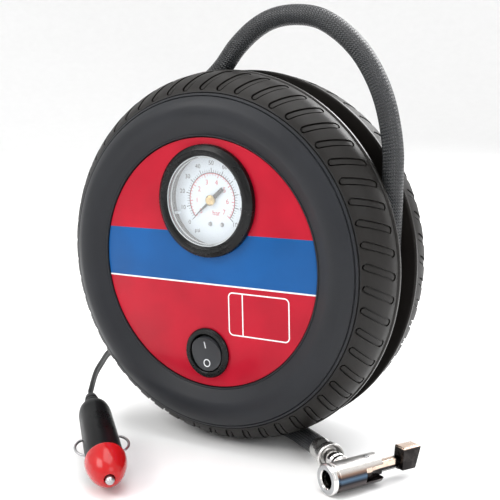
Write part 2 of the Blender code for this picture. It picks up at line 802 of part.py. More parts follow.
def build_motor():
    place = pump_place(-MOTOR_DROP)
    hole = SHAFT_RADIUS + GAP
    inner = MOTOR_RADIUS - MOTOR_WALL
    can = [
        (MOTOR_RADIUS, MOTOR_LEFT),
        (MOTOR_RADIUS, MOTOR_RIGHT),
        (hole, MOTOR_RIGHT),
        (hole, MOTOR_RIGHT - 0.0020),
        (inner, MOTOR_RIGHT - 0.0020),
        (inner, MOTOR_LEFT),
    ]
    turned("motor_can", can, place, steel(), MEDIUM_ROUND)
    cap_right = MOTOR_LEFT - GAP
    cap = [
        (MOTOR_RADIUS, cap_right),
        (inner - GAP, cap_right),
        (inner - GAP, cap_right + 0.0025),
        (hole, cap_right + 0.0025),
        (hole, cap_right - MOTOR_CAP),
        (MOTOR_RADIUS - 0.0010, cap_right - MOTOR_CAP),
        (MOTOR_RADIUS, cap_right - MOTOR_CAP + 0.0010),
    ]
    turned("motor_end_cap", cap, place, nylon(), MEDIUM_ROUND)
    left, right = ARMATURE_ENDS
    rotor = [
        (0, GEAR_RIGHT - GAP),
        (SHAFT_RADIUS, GEAR_RIGHT - GAP),
        (SHAFT_RADIUS, right),
        (ARMATURE_RADIUS, right),
        (ARMATURE_RADIUS, left),
        (SHAFT_RADIUS, left),
        (SHAFT_RADIUS, cap_right - MOTOR_CAP + GAP),
        (0, cap_right - MOTOR_CAP + GAP),
    ]
    turned("motor_rotor", rotor, place, steel(), SMALL_ROUND)
    gap_up = 90 + 180 / PINION_TEETH
    bore = circle(0, 0, hole, 12)
    # The placement's X runs along +Y and its Y along +Z, so 90 degrees points up at the gear.
    plate("motor_pinion", toothed(PINION_TEETH, gap_up), GEAR_LEFT, GEAR_RIGHT, place, brass(), [bore])


def build_gearbox():
    place = pump_place()
    hole = circle(0, 0, AXLE_RADIUS + GAP, 12)
    plate("drive_gear", toothed(GEAR_TEETH, -90), GEAR_LEFT, GEAR_RIGHT, place, nylon(), [hole])
    axle = [
        (0, GEAR_RIGHT - GAP),
        (AXLE_RADIUS, GEAR_RIGHT - GAP),
        (AXLE_RADIUS, FRAME_LEFT - GAP),
        (AXLE_RADIUS + 0.0014, FRAME_LEFT - GAP),
        (AXLE_RADIUS + 0.0014, FRAME_LEFT - GAP - 0.0015),
        (0, FRAME_LEFT - GAP - 0.0015),
    ]
    turned("gear_axle", axle, place, steel(), 12)
    low = -0.0140
    high = 0.0140
    foot = WALL_BACK - GAP - PUMP_Y
    outline = [
        (low, -MOTOR_DROP - MOTOR_RADIUS),
        (high, -MOTOR_DROP - MOTOR_RADIUS),
        (high, -0.0120),
        (foot, -0.0120),
        (foot, 0.0120),
        (high, 0.0120),
        (high, SHELF_TOP),
        (low, SHELF_TOP),
    ]
    shaft_hole = circle(0, -MOTOR_DROP, SHAFT_RADIUS + 0.0010, 12)
    frame = plate("gearbox_frame", outline, FRAME_LEFT, FRAME_RIGHT, place, steel(), [hole, shaft_hole])
    rod_way = circle(0, PUMP_X, PISTON_RADIUS - 0.0016, MEDIUM_ROUND)
    shelf_place = aimed((0, PUMP_Y, AXLE_HEIGHT), (0, 0, 1), (0, 1, 0))
    # Here the placement's X runs along +Y and its Y along -X, so the outline is mirrored.
    left = -FRAME_LEFT - 0.0005
    right = -(PUMP_X + CYLINDER_RADIUS + 0.0005)
    shelf_outline = [(low + 0.0010, left), (high - 0.0010, left), (high - 0.0010, right), (low + 0.0010, right)]
    rod_way = [(x, -y) for x, y in rod_way]
    shelf = plate("frame_shelf", shelf_outline, SHELF_TOP - FRAME_THICKNESS, SHELF_TOP - 0.0001, shelf_place, steel(), [rod_way])
    join(frame, shelf)


def build_crank_and_piston():
    place = pump_place()
    crank = -CRANK_RADIUS
    wrist = crank + ROD_LENGTH
    pin_hole = CRANK_PIN_RADIUS + GAP
    wrist_hole = PISTON_PIN_RADIUS + GAP
    outline = [
        *circle(0, crank, pin_hole + 0.0019, 8, 120, 300),
        *circle(0, wrist, wrist_hole + 0.0018, 8, -60, 300),
    ]
    holes = [circle(0, crank, pin_hole, 10), circle(0, wrist, wrist_hole, 10)]
    plate("connecting_rod", outline, ROD_LEFT, ROD_LEFT + ROD_THICKNESS, place, aluminium(), holes)
    pin_place = pump_place(crank)
    rod("crank_pin", CRANK_PIN_RADIUS, GEAR_RIGHT + CRANK_CLEARANCE, ROD_LEFT + ROD_THICKNESS, pin_place, steel(), 10)
    wrist_place = pump_place(wrist)
    reach = PISTON_RADIUS - 0.0014
    rod("piston_pin", PISTON_PIN_RADIUS, PUMP_X - reach, PUMP_X + reach, wrist_place, steel(), 10)
    upright = aimed((PUMP_X, PUMP_Y, AXLE_HEIGHT), (0, 0, 1))
    low = wrist - 0.0040
    crown = wrist + 0.0075
    groove_top = crown - 0.0011
    groove_low = crown - 0.0029
    core = PISTON_RADIUS - 0.0016
    profile = [
        (0, crown),
        (PISTON_RADIUS, crown),
        (PISTON_RADIUS, groove_top),
        (core, groove_top),
        (core, groove_low),
        (PISTON_RADIUS, groove_low),
        (PISTON_RADIUS, low),
        (0, low),
    ]
    piston = turned("piston", profile, upright, aluminium(), MEDIUM_ROUND)
    half = ROD_THICKNESS / 2 + GAP
    cut(piston, block("rod_slot", (-half, -0.006, low - 0.001), (half, 0.006, groove_low - 0.0008), upright, steel()))
    cut(piston, rod("piston_pin_hole", wrist_hole, PUMP_X - 0.012, PUMP_X + 0.012, wrist_place, steel(), 10))
    seal = [
        (PISTON_RADIUS + 0.0001, groove_top - GAP),
        (PISTON_RADIUS + 0.0001, groove_low + GAP),
        (core + GAP, groove_low + GAP),
        (core + GAP, groove_top - GAP),
    ]
    turned("piston_seal", seal, upright, rubber(), MEDIUM_ROUND)


def build_cylinder():
    upright = aimed((PUMP_X, PUMP_Y, AXLE_HEIGHT), (0, 0, 1))
    low = SHELF_TOP + GAP
    outer = [
        (BORE_RADIUS, CYLINDER_TOP),
        (FLANGE_RADIUS, CYLINDER_TOP),
        (FLANGE_RADIUS, CYLINDER_TOP - 0.0018),
        (CYLINDER_RADIUS, CYLINDER_TOP - 0.0018),
        (CYLINDER_RADIUS, low),
        (BORE_RADIUS, low),
    ]
    turned("pump_cylinder", outer, upright, aluminium(), MEDIUM_ROUND)
    head_low = CYLINDER_TOP + GAP
    head_top = head_low + HEAD_HEIGHT
    head = rod("cylinder_head", FLANGE_RADIUS, head_low, head_top, upright, aluminium(), MEDIUM_ROUND)
    barb = aimed((PUMP_X, PUMP_Y, AXLE_HEIGHT + head_top - 0.0030), (1, 0, 0), (0, 1, 0))
    join(head, rod("head_barbs", BARB_RADIUS, -HEAD_BARB_REACH, HEAD_BARB_REACH, barb, aluminium(), 10))
    cut(head, rod("valve_chamber", CHAMBER_RADIUS, CHAMBER_FLOOR, head_top + 0.001, upright, steel(), 12))
    cut(head, rod("valve_port", 0.0013, head_low - 0.001, CHAMBER_FLOOR + 0.001, upright, steel(), 10))
    disc_low = CHAMBER_FLOOR + GAP
    disc_top = disc_low + VALVE_THICKNESS
    rod("outlet_valve_disc", VALVE_RADIUS, disc_low, disc_top, upright, rubber(), 12)
    spring_low = disc_top + VALVE_TRAVEL + GAP
    turns = 2
    wire = 0.00028
    cap_low = head_top + GAP
    rise = cap_low - GAP - 2 * wire - spring_low
    points = []
    for index in range(turns * 8 + 1):
        angle = 2 * math.pi * index / 8
        height = spring_low + wire + rise * index / (turns * 8)
        points.append(upright @ Vector((0.0022 * math.cos(angle), 0.0022 * math.sin(angle), height)))
    tube("outlet_valve_spring", points, wire, steel(), 1)
    cap = [
        (0, cap_low + 0.0022),
        (0.0044, cap_low + 0.0022),
        (0.0052, cap_low + 0.0014),
        (0.0052, cap_low),
        (0, cap_low),
    ]
    turned("outlet_valve_cap", cap, upright, brass(), 6)
    return head_top - 0.0030


def build_inner_tubes(barb_height):
    """Soft tubes from the cylinder head to the gauge and to the hose outlet."""
    z = AXLE_HEIGHT
    right = PUMP_X + HEAD_BARB_REACH + GAP
    left = PUMP_X - HEAD_BARB_REACH - GAP
    stem_end = -FACE_HEIGHT + CASE_DEPTH + STEM_LENGTH + GAP
    gauge = [
        (GAUGE_X, stem_end, z + GAUGE_Z),
        (GAUGE_X, stem_end + 0.0022, z + GAUGE_Z),
        (GAUGE_X - 0.0022, stem_end + 0.0055, z + 0.0305),
        (-0.0060, 0.0020, z + 0.0350),
        (-0.0110, 0.0040, z + 0.0430),
        (-0.0120, PUMP_Y, z + 0.0510),
        (left - 0.0050, PUMP_Y, z + barb_height - 0.0008),
        (left - 0.0022, PUMP_Y, z + barb_height),
        (left, PUMP_Y, z + barb_height),
    ]
    tube("gauge_tube", smooth_route(gauge, 0.0060), TUBE_RADIUS - 0.0003, rubber())
    inner_end = wheel_point(OUTLET_INNER_END - GAP, OUTLET_ANGLE)
    outward = (wheel_point(1, OUTLET_ANGLE) - wheel_point(0, 0)).normalized()
    air = [
        (right, PUMP_Y, z + barb_height),
        (right + 0.0022, PUMP_Y, z + barb_height),
        (right + 0.0075, PUMP_Y, z + barb_height - 0.0040),
        (0.0450, 0.0020, z + 0.0450),
        (0.0510, 0.0, z + 0.0330),
        (0.0550, 0.0, z + 0.0180),
        (0.0545, 0.0, z + 0.0030),
        (0.0490, 0.0, z - 0.0110),
        (0.0430, 0.0, z - 0.0220),
        inner_end - outward * 0.0100,
        inner_end - outward * 0.0030,
        inner_end,
    ]
    tube("air_tube", smooth_route(air, 0.0090), TUBE_RADIUS, rubber())


def build_supply_wire():
    z = AXLE_HEIGHT
    terminal_end = -FACE_HEIGHT + SWITCH_DEPTH + TERMINAL_SIZE[1] + 2 * GAP
    route = [
        (GLAND_X, WALL_BACK - 0.0020 - GAP, z - GLAND_DROP),
        (GLAND_X, WALL_BACK - 0.0050, z - GLAND_DROP),
        (-0.0090, 0.0100, z - 0.0500),
        (-0.0070, 0.0, z - 0.0500),
        (0, terminal_end + 0.0025, z + SWITCH_Z - TERMINAL_OFFSET),
        (0, terminal_end, z + SWITCH_Z - TERMINAL_OFFSET),
    ]
    tube("supply_wire", smooth_route(route, 0.0050), 0.0010, plug_red(), 1)


def hose_points():
    """Centre line of the air hose, from the outlet in the groove to the ferrule by the chuck."""
    corner, along = outlet_corner()
    route = [corner + along * (OUTLET_REACH + GAP), corner + along * (OUTLET_REACH + 0.0045)]
    route += [wheel_point(HOSE_BED, OUTLET_ANGLE + step) for step in (14, 24, 34)]
    arch = [
        (0.0799, 0.0100),
        (0.0806, 0.0250),
        (0.0810, 0.0394),
        (0.0812, 0.0495),
        (0.0800, 0.0607),
        (0.0771, 0.0732),
        (0.0724, 0.0843),
        (0.0656, 0.0948),
        (0.0563, 0.1038),
        (0.0453, 0.1103),
        (0.0334, 0.1125),
        (0.0216, 0.1115),
        (0.0112, 0.1071),
        (0.0012, 0.0994),
        (-0.0072, 0.0902),
        (-0.0165, 0.0829),
        (-0.0275, 0.0773),
        (-0.0395, 0.0712),
    ]
    route += [Vector((x, 0, AXLE_HEIGHT + z)) for x, z in arch]
    route += [wheel_point(HOSE_BED, angle) for angle in range(128, 272, 12)]
    tail = [
        Vector((0.0125, 0, 0.0087)),
        Vector((0.0210, -0.0004, 0.0068)),
        Vector((0.0285, -0.0017, 0.0054)),
        Vector((0.0345, -0.0042, 0.0049)),
        Vector((0.0390, -0.0073, 0.0050)),
        Vector((0.0442, -0.0118, 0.0058)),
        ferrule_start() + NECK_DIRECTION * 0.0042,
        ferrule_start() + NECK_DIRECTION * GAP,
    ]
    return [route[0], *smooth_line(route[1:], HOSE_STEP), *tail]


def outlet_corner():
    """The corner of the outlet elbow, and the direction in which the hose leaves it."""
    out = wheel_point(1, OUTLET_ANGLE) - wheel_point(0, OUTLET_ANGLE)
    return wheel_point(HOSE_BED, OUTLET_ANGLE), Vector((-out.z, 0, out.x))


def ferrule_start():
    """Where the hose goes into its ferrule."""
    neck = MOUTH + BARREL_DIRECTION * NECK_AT
    return neck + NECK_DIRECTION * (NECK_END + FERRULE_LENGTH)


def build_hose():
    corner, along = outlet_corner()
    place = aimed(corner, along, (0, 1, 0))
    elbow = rod("hose_outlet", HOSE_RADIUS, -OUTLET_REACH, OUTLET_REACH, place, plain_black(), 16)
    stem_place = aimed(wheel_point(0, 0), corner - wheel_point(0, 0), (0, 1, 0))
    stem = rod("outlet_stem", OUTLET_STEM_RADIUS, OUTLET_INNER_END, HOSE_BED, stem_place, plain_black(), 16)
    join(elbow, stem)
    hose = hose_points()
    tube("air_hose", hose, HOSE_RADIUS, braid())
    print(f"air hose {route_length(hose):.3f} m, {len(hose)} points")


def chuck_place(along=0.0):
    """A placement on the barrel's axis: Z runs back from the mouth, X out of the lever's side, Y up."""
    return aimed(MOUTH + BARREL_DIRECTION * along, BARREL_DIRECTION, BARREL_SIDE)


def build_chuck():
    place = chuck_place()
    ring = MOUTH_RING_LENGTH
    body = [
        (CHUCK_BORE + 0.0008, 0),
        (MOUTH_RING_RADIUS - 0.0006, 0),
        (MOUTH_RING_RADIUS, 0.0006),
        (MOUTH_RING_RADIUS, ring),
        (BARREL_RADIUS - 0.0007, ring + 0.0003),
        (BARREL_RADIUS, ring + 0.0010),
        (BARREL_RADIUS, BARREL_LENGTH - 0.0010),
        (BARREL_RADIUS - 0.0010, BARREL_LENGTH),
        (0, BARREL_LENGTH),
    ]
    bore_end = LEVER_PIVOT - CAM_RADIUS - GAP - 0.0004
    bore = [(0, bore_end), (CHUCK_BORE, bore_end), (CHUCK_BORE, 0.0008)]
    barrel = turned("chuck_body", bore + body, place, chrome(), MEDIUM_ROUND)
    half = SLOT_HEIGHT / 2
    inner_side = LEVER_PIVOT_SIDE - CAM_RADIUS - 0.0004
    slot = block("lever_slot", (inner_side, -half, bore_end - 0.0002), (0.010, half, 0.030), place, chrome())
    cut(barrel, slot)
    pin = aimed(lever_pivot(), (0, 0, 1))
    cut(barrel, rod("lever_pin_hole", LEVER_PIN_RADIUS + GAP, -0.010, 0.010, pin, chrome(), 12))
    neck_axis = aimed(MOUTH + BARREL_DIRECTION * NECK_AT, NECK_DIRECTION, BARREL_DIRECTION)
    socket = BARREL_RADIUS - 0.0012
    cut(barrel, rod("neck_socket", NECK_RADIUS - 0.0010, socket, 0.012, neck_axis, chrome(), 16))
    neck_start = BARREL_RADIUS + GAP
    neck = [
        (0, socket + GAP),
        (NECK_RADIUS - 0.0010 - GAP, socket + GAP),
        (NECK_RADIUS - 0.0010 - GAP, neck_start + 0.0012),
        (NECK_RADIUS, neck_start + 0.0020),
        (NECK_RADIUS + 0.0006, neck_start + 0.0070),
        (NECK_RADIUS + 0.0006, NECK_END - GAP),
        (0, NECK_END - GAP),
    ]
    turned("chuck_neck", neck, neck_axis, chrome(), 14)
    ferrule_end = NECK_END + FERRULE_LENGTH
    ferrule = [
        (0, NECK_END),
        (FERRULE_RADIUS - 0.0008, NECK_END),
        (FERRULE_RADIUS, NECK_END + 0.0009),
        (FERRULE_RADIUS - 0.0006, NECK_END + 0.0032),
        (FERRULE_RADIUS, NECK_END + 0.0052),
        (FERRULE_RADIUS, ferrule_end),
        (0, ferrule_end),
    ]
    turned("hose_ferrule", ferrule, neck_axis, chrome(), 16)
    seal_radius = CHUCK_BORE - GAP
    seal = [
        (seal_radius, SEAL_AT),
        (seal_radius, SEAL_AT + SEAL_LENGTH),
        (0.0023, SEAL_AT + SEAL_LENGTH),
        (0.0023, SEAL_AT + 0.0006),
        (0.0029, SEAL_AT),
    ]
    turned("chuck_seal", seal, place, rubber(), SMALL_ROUND)
    rod("chuck_plunger", CHUCK_BORE - GAP, PLUNGER_AT, bore_end - GAP, place, brass(), 16)
    build_lever(pin)


def lever_pivot():
    return MOUTH + BARREL_DIRECTION * LEVER_PIVOT + BARREL_SIDE * LEVER_PIVOT_SIDE


def build_lever(pin):
    """The lever swings out sideways about its upright pin; it lies in line with the barrel at rest."""
    head = BARREL_RADIUS * 0.93
    profile = [
        (0, head + 0.0006),
        (LEVER_PIN_RADIUS, head + 0.0006),
        (LEVER_PIN_RADIUS, -head),
        (0, -head),
    ]
    turned("chuck_lever_pin", profile, pin, steel(), 12)
    place = aimed(lever_pivot(), (0, 0, 1), BARREL_SIDE)
    # In this placement X runs out of the lever's side and Y back along the barrel.
    low = -LEVER_THICKNESS / 2
    high = LEVER_THICKNESS / 2
    arm_end = PADDLE_AT - LEVER_PIVOT
    arm = [
        *circle(0, 0, CAM_RADIUS, 10, 210, 240),
        (high, 0.0062),
        (high, arm_end + 0.0020),
        (low, arm_end + 0.0020),
        (low, 0.0040),
    ]
    half = LEVER_HEIGHT / 2
    lever = plate("chuck_lever", arm, -half, half, place, steel(), [circle(0, 0, LEVER_PIN_RADIUS + GAP, 12)])
    end = LEVER_END - LEVER_PIVOT
    paddle = [
        (low, arm_end),
        (high, arm_end),
        (high + 0.0006, (arm_end + end) / 2),
        (high + 0.0022, end - 0.0008),
        (high + 0.0014, end),
        (low + 0.0006, end - 0.0012),
        (low - 0.0002, (arm_end + end) / 2),
    ]
    tall = PADDLE_HEIGHT / 2
    join(lever, plate("lever_paddle", paddle, -tall, tall, place, steel()))


def coil_points():
    """The put-away cord: neat turns in layers, from the top layer down, spiralling in and out.

    It climbs from one layer to the next in the half turn where the spiral reverses.
    """
    per_layer = COIL_TURNS / COIL_LAYERS
    inner = COIL_MEAN_RADIUS - COIL_PITCH * per_layer / 2
    points = []
    count = round(COIL_TURNS * LOOP_POINTS)
    for index in range(count + 1):
        turn = index / LOOP_POINTS
        layer = min(int(turn / per_layer), COIL_LAYERS - 1)
        share = turn / per_layer - layer
        inward = layer % 2 == 0
        radius = inner + COIL_PITCH * per_layer * (1 - share if inward else share)
        nearest = round(turn / per_layer)
        offset = (turn - nearest * per_layer) / 0.25
        level = float(layer)
        if 0 < nearest < COIL_LAYERS and abs(offset) < 1:
            level = nearest - 0.5 + 0.5 * math.sin(math.pi / 2 * offset)
        height = COIL_FLOOR + CORD_RADIUS + COIL_PITCH * (COIL_LAYERS - 1 - level)
        angle = math.radians(COIL_START) + 2 * math.pi * turn
        spot = Vector((radius * math.cos(angle), radius * math.sin(angle), height))
        points.append(COIL_CENTRE + spot)
    return points


def straight_ends(points, length):
    """The same line with a short straight run added at each end."""
    first = points[0] - (points[1] - points[0]).normalized() * length
    last = points[-1] + (points[-1] - points[-2]).normalized() * length
    return [first, *points, last]


def least_gap(points, radius):
    """Least distance between the skins of turns that lie beside or on each other."""
    near = LOOP_POINTS // 2
    least = 1.0
    for index, point in enumerate(points):
        for other in points[index + near:]:
            least = min(least, (other - point).length)
    return least - 2 * radius


def build_power_cord():
    coil = straight_ends(coil_points(), 2 * CORD_RADIUS)
    tube("power_cord_coil", coil, CORD_RADIUS, rubber(), 1)
    start_along = (coil[1] - coil[0]).normalized()
    end_along = (coil[-1] - coil[-2]).normalized()
    z = AXLE_HEIGHT - GLAND_DROP
    inner = [
        Vector((GLAND_X, GLAND_END + GAP, z)),
        Vector((GLAND_X, GLAND_END + 0.0060, z - 0.0006)),
        Vector((GLAND_X - 0.0012, 0.0655, z - 0.0085)),
        Vector((GLAND_X - 0.0050, 0.0730, z - 0.0185)),
        coil[0] - start_along * 0.0100 + Vector((0, 0, 0.0012)),
        coil[0] - start_along * 0.0030,
        coil[0] - start_along * GAP,
    ]
    inner = smooth_route(inner, CORD_STEP)
    tube("power_cord_inner", inner, CORD_RADIUS, rubber())
    relief_face = PLUG_TAIL
    plug_along = (PLUG_TAIL - PLUG_TIP).normalized()
    outer = [
        coil[-1] + end_along * GAP,
        coil[-1] + end_along * 0.0040,
        coil[-1] + end_along * 0.0200 - Vector((0, 0.0020, 0)),
        Vector((-0.1060, 0.0870, 0.0030)),
        Vector((-0.1210, 0.0750, 0.0044)),
        Vector((-0.1270, 0.0590, 0.0092)),
        Vector((-0.1250, 0.0425, 0.0140)),
        Vector((-0.1170, 0.0240, 0.0166)),
        Vector((-0.1050, 0.0060, 0.0182)),
        Vector((-0.0925, -0.0090, 0.0190)),
        Vector((-0.0800, -0.0240, 0.0198)),
        relief_face + plug_along * 0.0040,
        relief_face + plug_along * GAP,
    ]
    outer = smooth_route(outer, CORD_STEP)
    tube("power_cord_outer", outer, CORD_RADIUS, rubber())
    total = sum(route_length(run) for run in (coil, inner, outer))
    print(f"power cord {total:.3f} m of {CORD_LENGTH} m, least gap {least_gap(coil, CORD_RADIUS) * 1000:.2f} mm")


def build_cord_tie():
    per_layer = COIL_TURNS / COIL_LAYERS
    spread = COIL_PITCH * per_layer / 2 + CORD_RADIUS + 0.0004
    middle = COIL_MEAN_RADIUS
    low = COIL_FLOOR - TIE_THICKNESS - GAP
    high = COIL_FLOOR + COIL_PITCH * (COIL_LAYERS - 1) + 2 * CORD_RADIUS + GAP
    spin = Matrix.Rotation(math.radians(TIE_ANGLE), 4, "Z")
    outward = spin @ Vector((1, 0, 0))
    place = aimed(COIL_CENTRE + outward * middle, spin @ Vector((0, -1, 0)), outward)
    # In this placement X runs out from the coil's centre and Y up.
    inner = [(-spread, low + TIE_THICKNESS), (spread, low + TIE_THICKNESS), (spread, high), (-spread, high)]
    wide = spread + TIE_THICKNESS
    outer = [(-wide, low), (wide, low), (wide, high + TIE_THICKNESS), (-wide, high + TIE_THICKNESS)]
    plate("cord_tie", outer, -TIE_WIDTH / 2, TIE_WIDTH / 2, place, plain_black(), [inner])


def build_cord_gland():
    place = aimed((GLAND_X, 0, AXLE_HEIGHT - GLAND_DROP), (0, 1, 0))
    seat = WALL_FACE + GAP
    sleeve = GLAND_FLANGE - 0.0020
    profile = [
        (0, GLAND_END),
        (CORD_RADIUS + 0.0006, GLAND_END),
        (GLAND_FLANGE - 0.0016, seat + 0.0030),
        (GLAND_FLANGE, seat + 0.0022),
        (GLAND_FLANGE, seat),
        (sleeve, seat),
        (sleeve, WALL_BACK - 0.0020),
        (0, WALL_BACK - 0.0020),
    ]
    turned("cord_gland", profile, place, rubber(), SMALL_ROUND)


def build_plug():
    along = (PLUG_TAIL - PLUG_TIP).normalized()
    across = along.cross(Vector((0, 0, 1))).normalized()
    place = aimed(PLUG_TIP, along, across)
    tip_way = TIP_RADIUS + GAP
    room = FUSE_RADIUS + GAP
    room_front = 0.0045
    nose = [
        (tip_way, 0),
        (0.0052, 0.0001),
        (0.0074, 0.0010),
        (0.0089, 0.0029),
        (NOSE_RADIUS - 0.0002, 0.0062),
        (NOSE_RADIUS, 0.0098),
        (NOSE_RADIUS - 0.0001, NOSE_LENGTH - 0.0008),
        (NOSE_RADIUS - 0.0007, NOSE_LENGTH),
        (room, NOSE_LENGTH),
        (room, room_front),
        (tip_way, room_front),
    ]
    turned("plug_nose", nose, place, plug_red(), MEDIUM_ROUND)
    front = NOSE_LENGTH + GAP
    fuse_front = room_front + 0.0012 + 2 * GAP
    fuse_back = fuse_front + FUSE_LENGTH
    room_end = fuse_back + TIP_TRAVEL + GAP
    body = [
        (0, room_end),
        (room, room_end),
        (room, front),
        (PLUG_FRONT_RADIUS, front),
        (PLUG_REAR_RADIUS, PLUG_BODY_END - 0.0050),
        (PLUG_REAR_RADIUS - 0.0012, PLUG_BODY_END - 0.0018),
        (PLUG_REAR_RADIUS - 0.0032, PLUG_BODY_END),
        (0, PLUG_BODY_END),
    ]
    shell = turned("plug_body", body, place, plain_black(), MEDIUM_ROUND)
    tail = (PLUG_TAIL - PLUG_TIP).length
    relief = [
        (0, PLUG_BODY_END + GAP),
        (RELIEF_RADIUS, PLUG_BODY_END + GAP),
        (RELIEF_RADIUS - 0.0006, PLUG_BODY_END + 0.0020),
        (CORD_RADIUS + 0.0005, tail),
        (0, tail),
    ]
    turned("plug_relief", relief, place, rubber(), SMALL_ROUND)
    tip = [
        (0, -TIP_REACH),
        (TIP_RADIUS * 0.6, -TIP_REACH + 0.0002),
        (TIP_RADIUS, -TIP_REACH + 0.0010),
        (TIP_RADIUS, room_front + GAP),
        (FUSE_RADIUS, room_front + GAP),
        (FUSE_RADIUS, room_front + 0.0012 + GAP),
        (0, room_front + 0.0012 + GAP),
    ]
    turned("plug_tip", tip, place, steel(), SMALL_ROUND)
    fuse = [
        (0, fuse_front),
        (FUSE_RADIUS, fuse_front),
        (FUSE_RADIUS, fuse_back),
        (0, fuse_back),
    ]
    turned("plug_fuse", fuse, place, glass(), SMALL_ROUND)
    build_contacts(place, shell)


def build_contacts(place, shell):
    """Bowed wire contacts on the plug's two sides; their turned-in ends slide in pockets."""
    for label, side in (("left", -1), ("right", 1)):
        skin = PLUG_FRONT_RADIUS
        inner = skin - 0.0012
        start = CONTACT_AT
        bow = [
            (inner - 0.0016, start),
            (skin + 0.0006, start + CONTACT_LENGTH * 0.06),
            (skin + CONTACT_REACH - 0.0006, start + CONTACT_LENGTH * 0.28),
            (skin + CONTACT_REACH, start + CONTACT_LENGTH * 0.50),
            (skin + CONTACT_REACH - 0.0006, start + CONTACT_LENGTH * 0.72),
            (skin + 0.0006, start + CONTACT_LENGTH * 0.94),
            (inner - 0.0016, start + CONTACT_LENGTH),
        ]
        points = [place @ Vector((side * x, 0, along)) for x, along in bow]
        tube(f"plug_contact_{label}", points, CONTACT_WIRE, steel(), 1)
        deep = inner - 0.0016 - CONTACT_TRAVEL - GAP
        wide = CONTACT_WIRE + GAP
        near = start - wide
        far = start + CONTACT_LENGTH + wide
        corners = sorted((side * deep, side * 0.0200))
        pocket = block(f"contact_pocket_{label}", (corners[0], -wide, near), (corners[1], wide, far), place, steel())
        cut(shell, pocket)


def build_inflator():
    build_front_housing()
    build_rear_housing()
    build_face_plate()
    build_housing_screws()
    build_gauge()
    build_switch()
    build_motor()
    build_gearbox()
    build_crank_and_piston()
    build_inner_tubes(build_cylinder())
    build_supply_wire()
    build_hose()
    build_chuck()
    build_cord_gland()
    build_power_cord()
    build_cord_tie()
    build_plug()


for leftover in list(bpy.data.objects):
    bpy.data.objects.remove(leftover, do_unlink=True)
PARTS = collection("tyre_inflator")
TOOLS = collection("cutters")
build_inflator()
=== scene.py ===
"""The finished look of a tyre inflator in the shape of a small car tyre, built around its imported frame.

The file is laid out as a Blender add-on. Each operator models one piece or one group of like pieces.
X runs to the right of the dial face, Y from the dial face to the back and Z up, in metres.
"""

import json
import math

import bmesh
import bpy
from bpy.props import FloatProperty, FloatVectorProperty, IntProperty, PointerProperty
from mathutils import Matrix, Vector


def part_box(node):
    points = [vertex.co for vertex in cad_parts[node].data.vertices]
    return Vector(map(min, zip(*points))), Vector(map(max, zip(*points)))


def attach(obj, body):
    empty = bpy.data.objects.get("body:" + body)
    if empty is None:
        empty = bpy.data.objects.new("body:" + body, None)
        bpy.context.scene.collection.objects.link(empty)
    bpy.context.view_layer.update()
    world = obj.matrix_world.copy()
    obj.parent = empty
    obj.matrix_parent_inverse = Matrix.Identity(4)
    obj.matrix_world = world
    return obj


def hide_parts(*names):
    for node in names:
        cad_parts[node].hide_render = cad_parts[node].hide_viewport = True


bl_info = {
    "name": "Tyre Inflator",
    "version": (1, 0, 0),
    "blender": (4, 5, 0),
    "location": "3D View > Sidebar > Inflator",
    "description": "Models the finished pieces of a tyre inflator and its studio",
    "category": "Object",
}

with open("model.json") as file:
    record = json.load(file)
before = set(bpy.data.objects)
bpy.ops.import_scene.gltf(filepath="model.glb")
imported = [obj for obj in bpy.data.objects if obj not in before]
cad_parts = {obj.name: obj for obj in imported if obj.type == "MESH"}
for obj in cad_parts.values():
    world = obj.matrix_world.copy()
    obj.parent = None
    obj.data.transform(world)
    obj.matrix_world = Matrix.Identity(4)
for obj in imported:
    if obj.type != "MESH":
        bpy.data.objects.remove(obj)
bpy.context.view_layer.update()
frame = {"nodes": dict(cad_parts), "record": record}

# Places read from the frame.
TYRE_LOW, TYRE_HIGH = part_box("front_housing")
AXLE = (TYRE_LOW.z + TYRE_HIGH.z) / 2
PLATE_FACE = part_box("face_plate")[0].y
PLATE_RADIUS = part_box("face_plate")[1].x
BEZEL_LOW, BEZEL_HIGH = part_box("gauge_bezel")
GAUGE_X = (BEZEL_LOW.x + BEZEL_HIGH.x) / 2
GAUGE_Z = (BEZEL_LOW.z + BEZEL_HIGH.z) / 2
COLLAR_LOW, COLLAR_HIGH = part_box("switch_body")
SWITCH_Z = (COLLAR_LOW.z + COLLAR_HIGH.z) / 2
DIAL_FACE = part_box("gauge_dial")[0].y

# The back of the case: its screws, the cord's gland and the coil on the floor behind it.
SCREW_RING = 0.0520
SCREW_ANGLES = (135, 240, 300)
GLAND_X = -0.0050
GLAND_Z = AXLE - 0.0470
COIL_CENTRE = Vector((-0.0520, 0.0770, 0))

# The thumb-lock chuck and the lighter plug, which lie aslant.
MOUTH = Vector((0.0739, -0.0519, 0.0071))
BARREL_WAY = Vector((0.463, 0.886, 0)).normalized()
BARREL_SIDE = Vector((BARREL_WAY.y, -BARREL_WAY.x, 0))
NECK_WAY = Vector((-0.79, 0.613, 0)).normalized()
NECK_AT = 0.0129
NECK_END = 0.0220
FERRULE_LENGTH = 0.0100
LEVER_PIVOT = 0.0205
LEVER_PIVOT_SIDE = 0.0010
PLUG_TIP = Vector((-0.0030, -0.0990, 0.0088))
PLUG_TAIL = Vector((-0.0565, -0.0497, 0.0216))
PLUG_WAY = (PLUG_TAIL - PLUG_TIP).normalized()


def length(name, description, default):
    """A size in metres that shows in the sidebar."""
    return FloatProperty(name=name, description=description, default=default, unit="LENGTH", precision=5)


def count(name, description, default):
    """A number of equal pieces that shows in the sidebar."""
    return IntProperty(name=name, description=description, default=default, min=3)


def colour(name, description, default):
    """A colour that shows in the sidebar."""
    return FloatVectorProperty(
        name=name, description=description, default=default, size=3, subtype="COLOR", min=0, max=1
    )


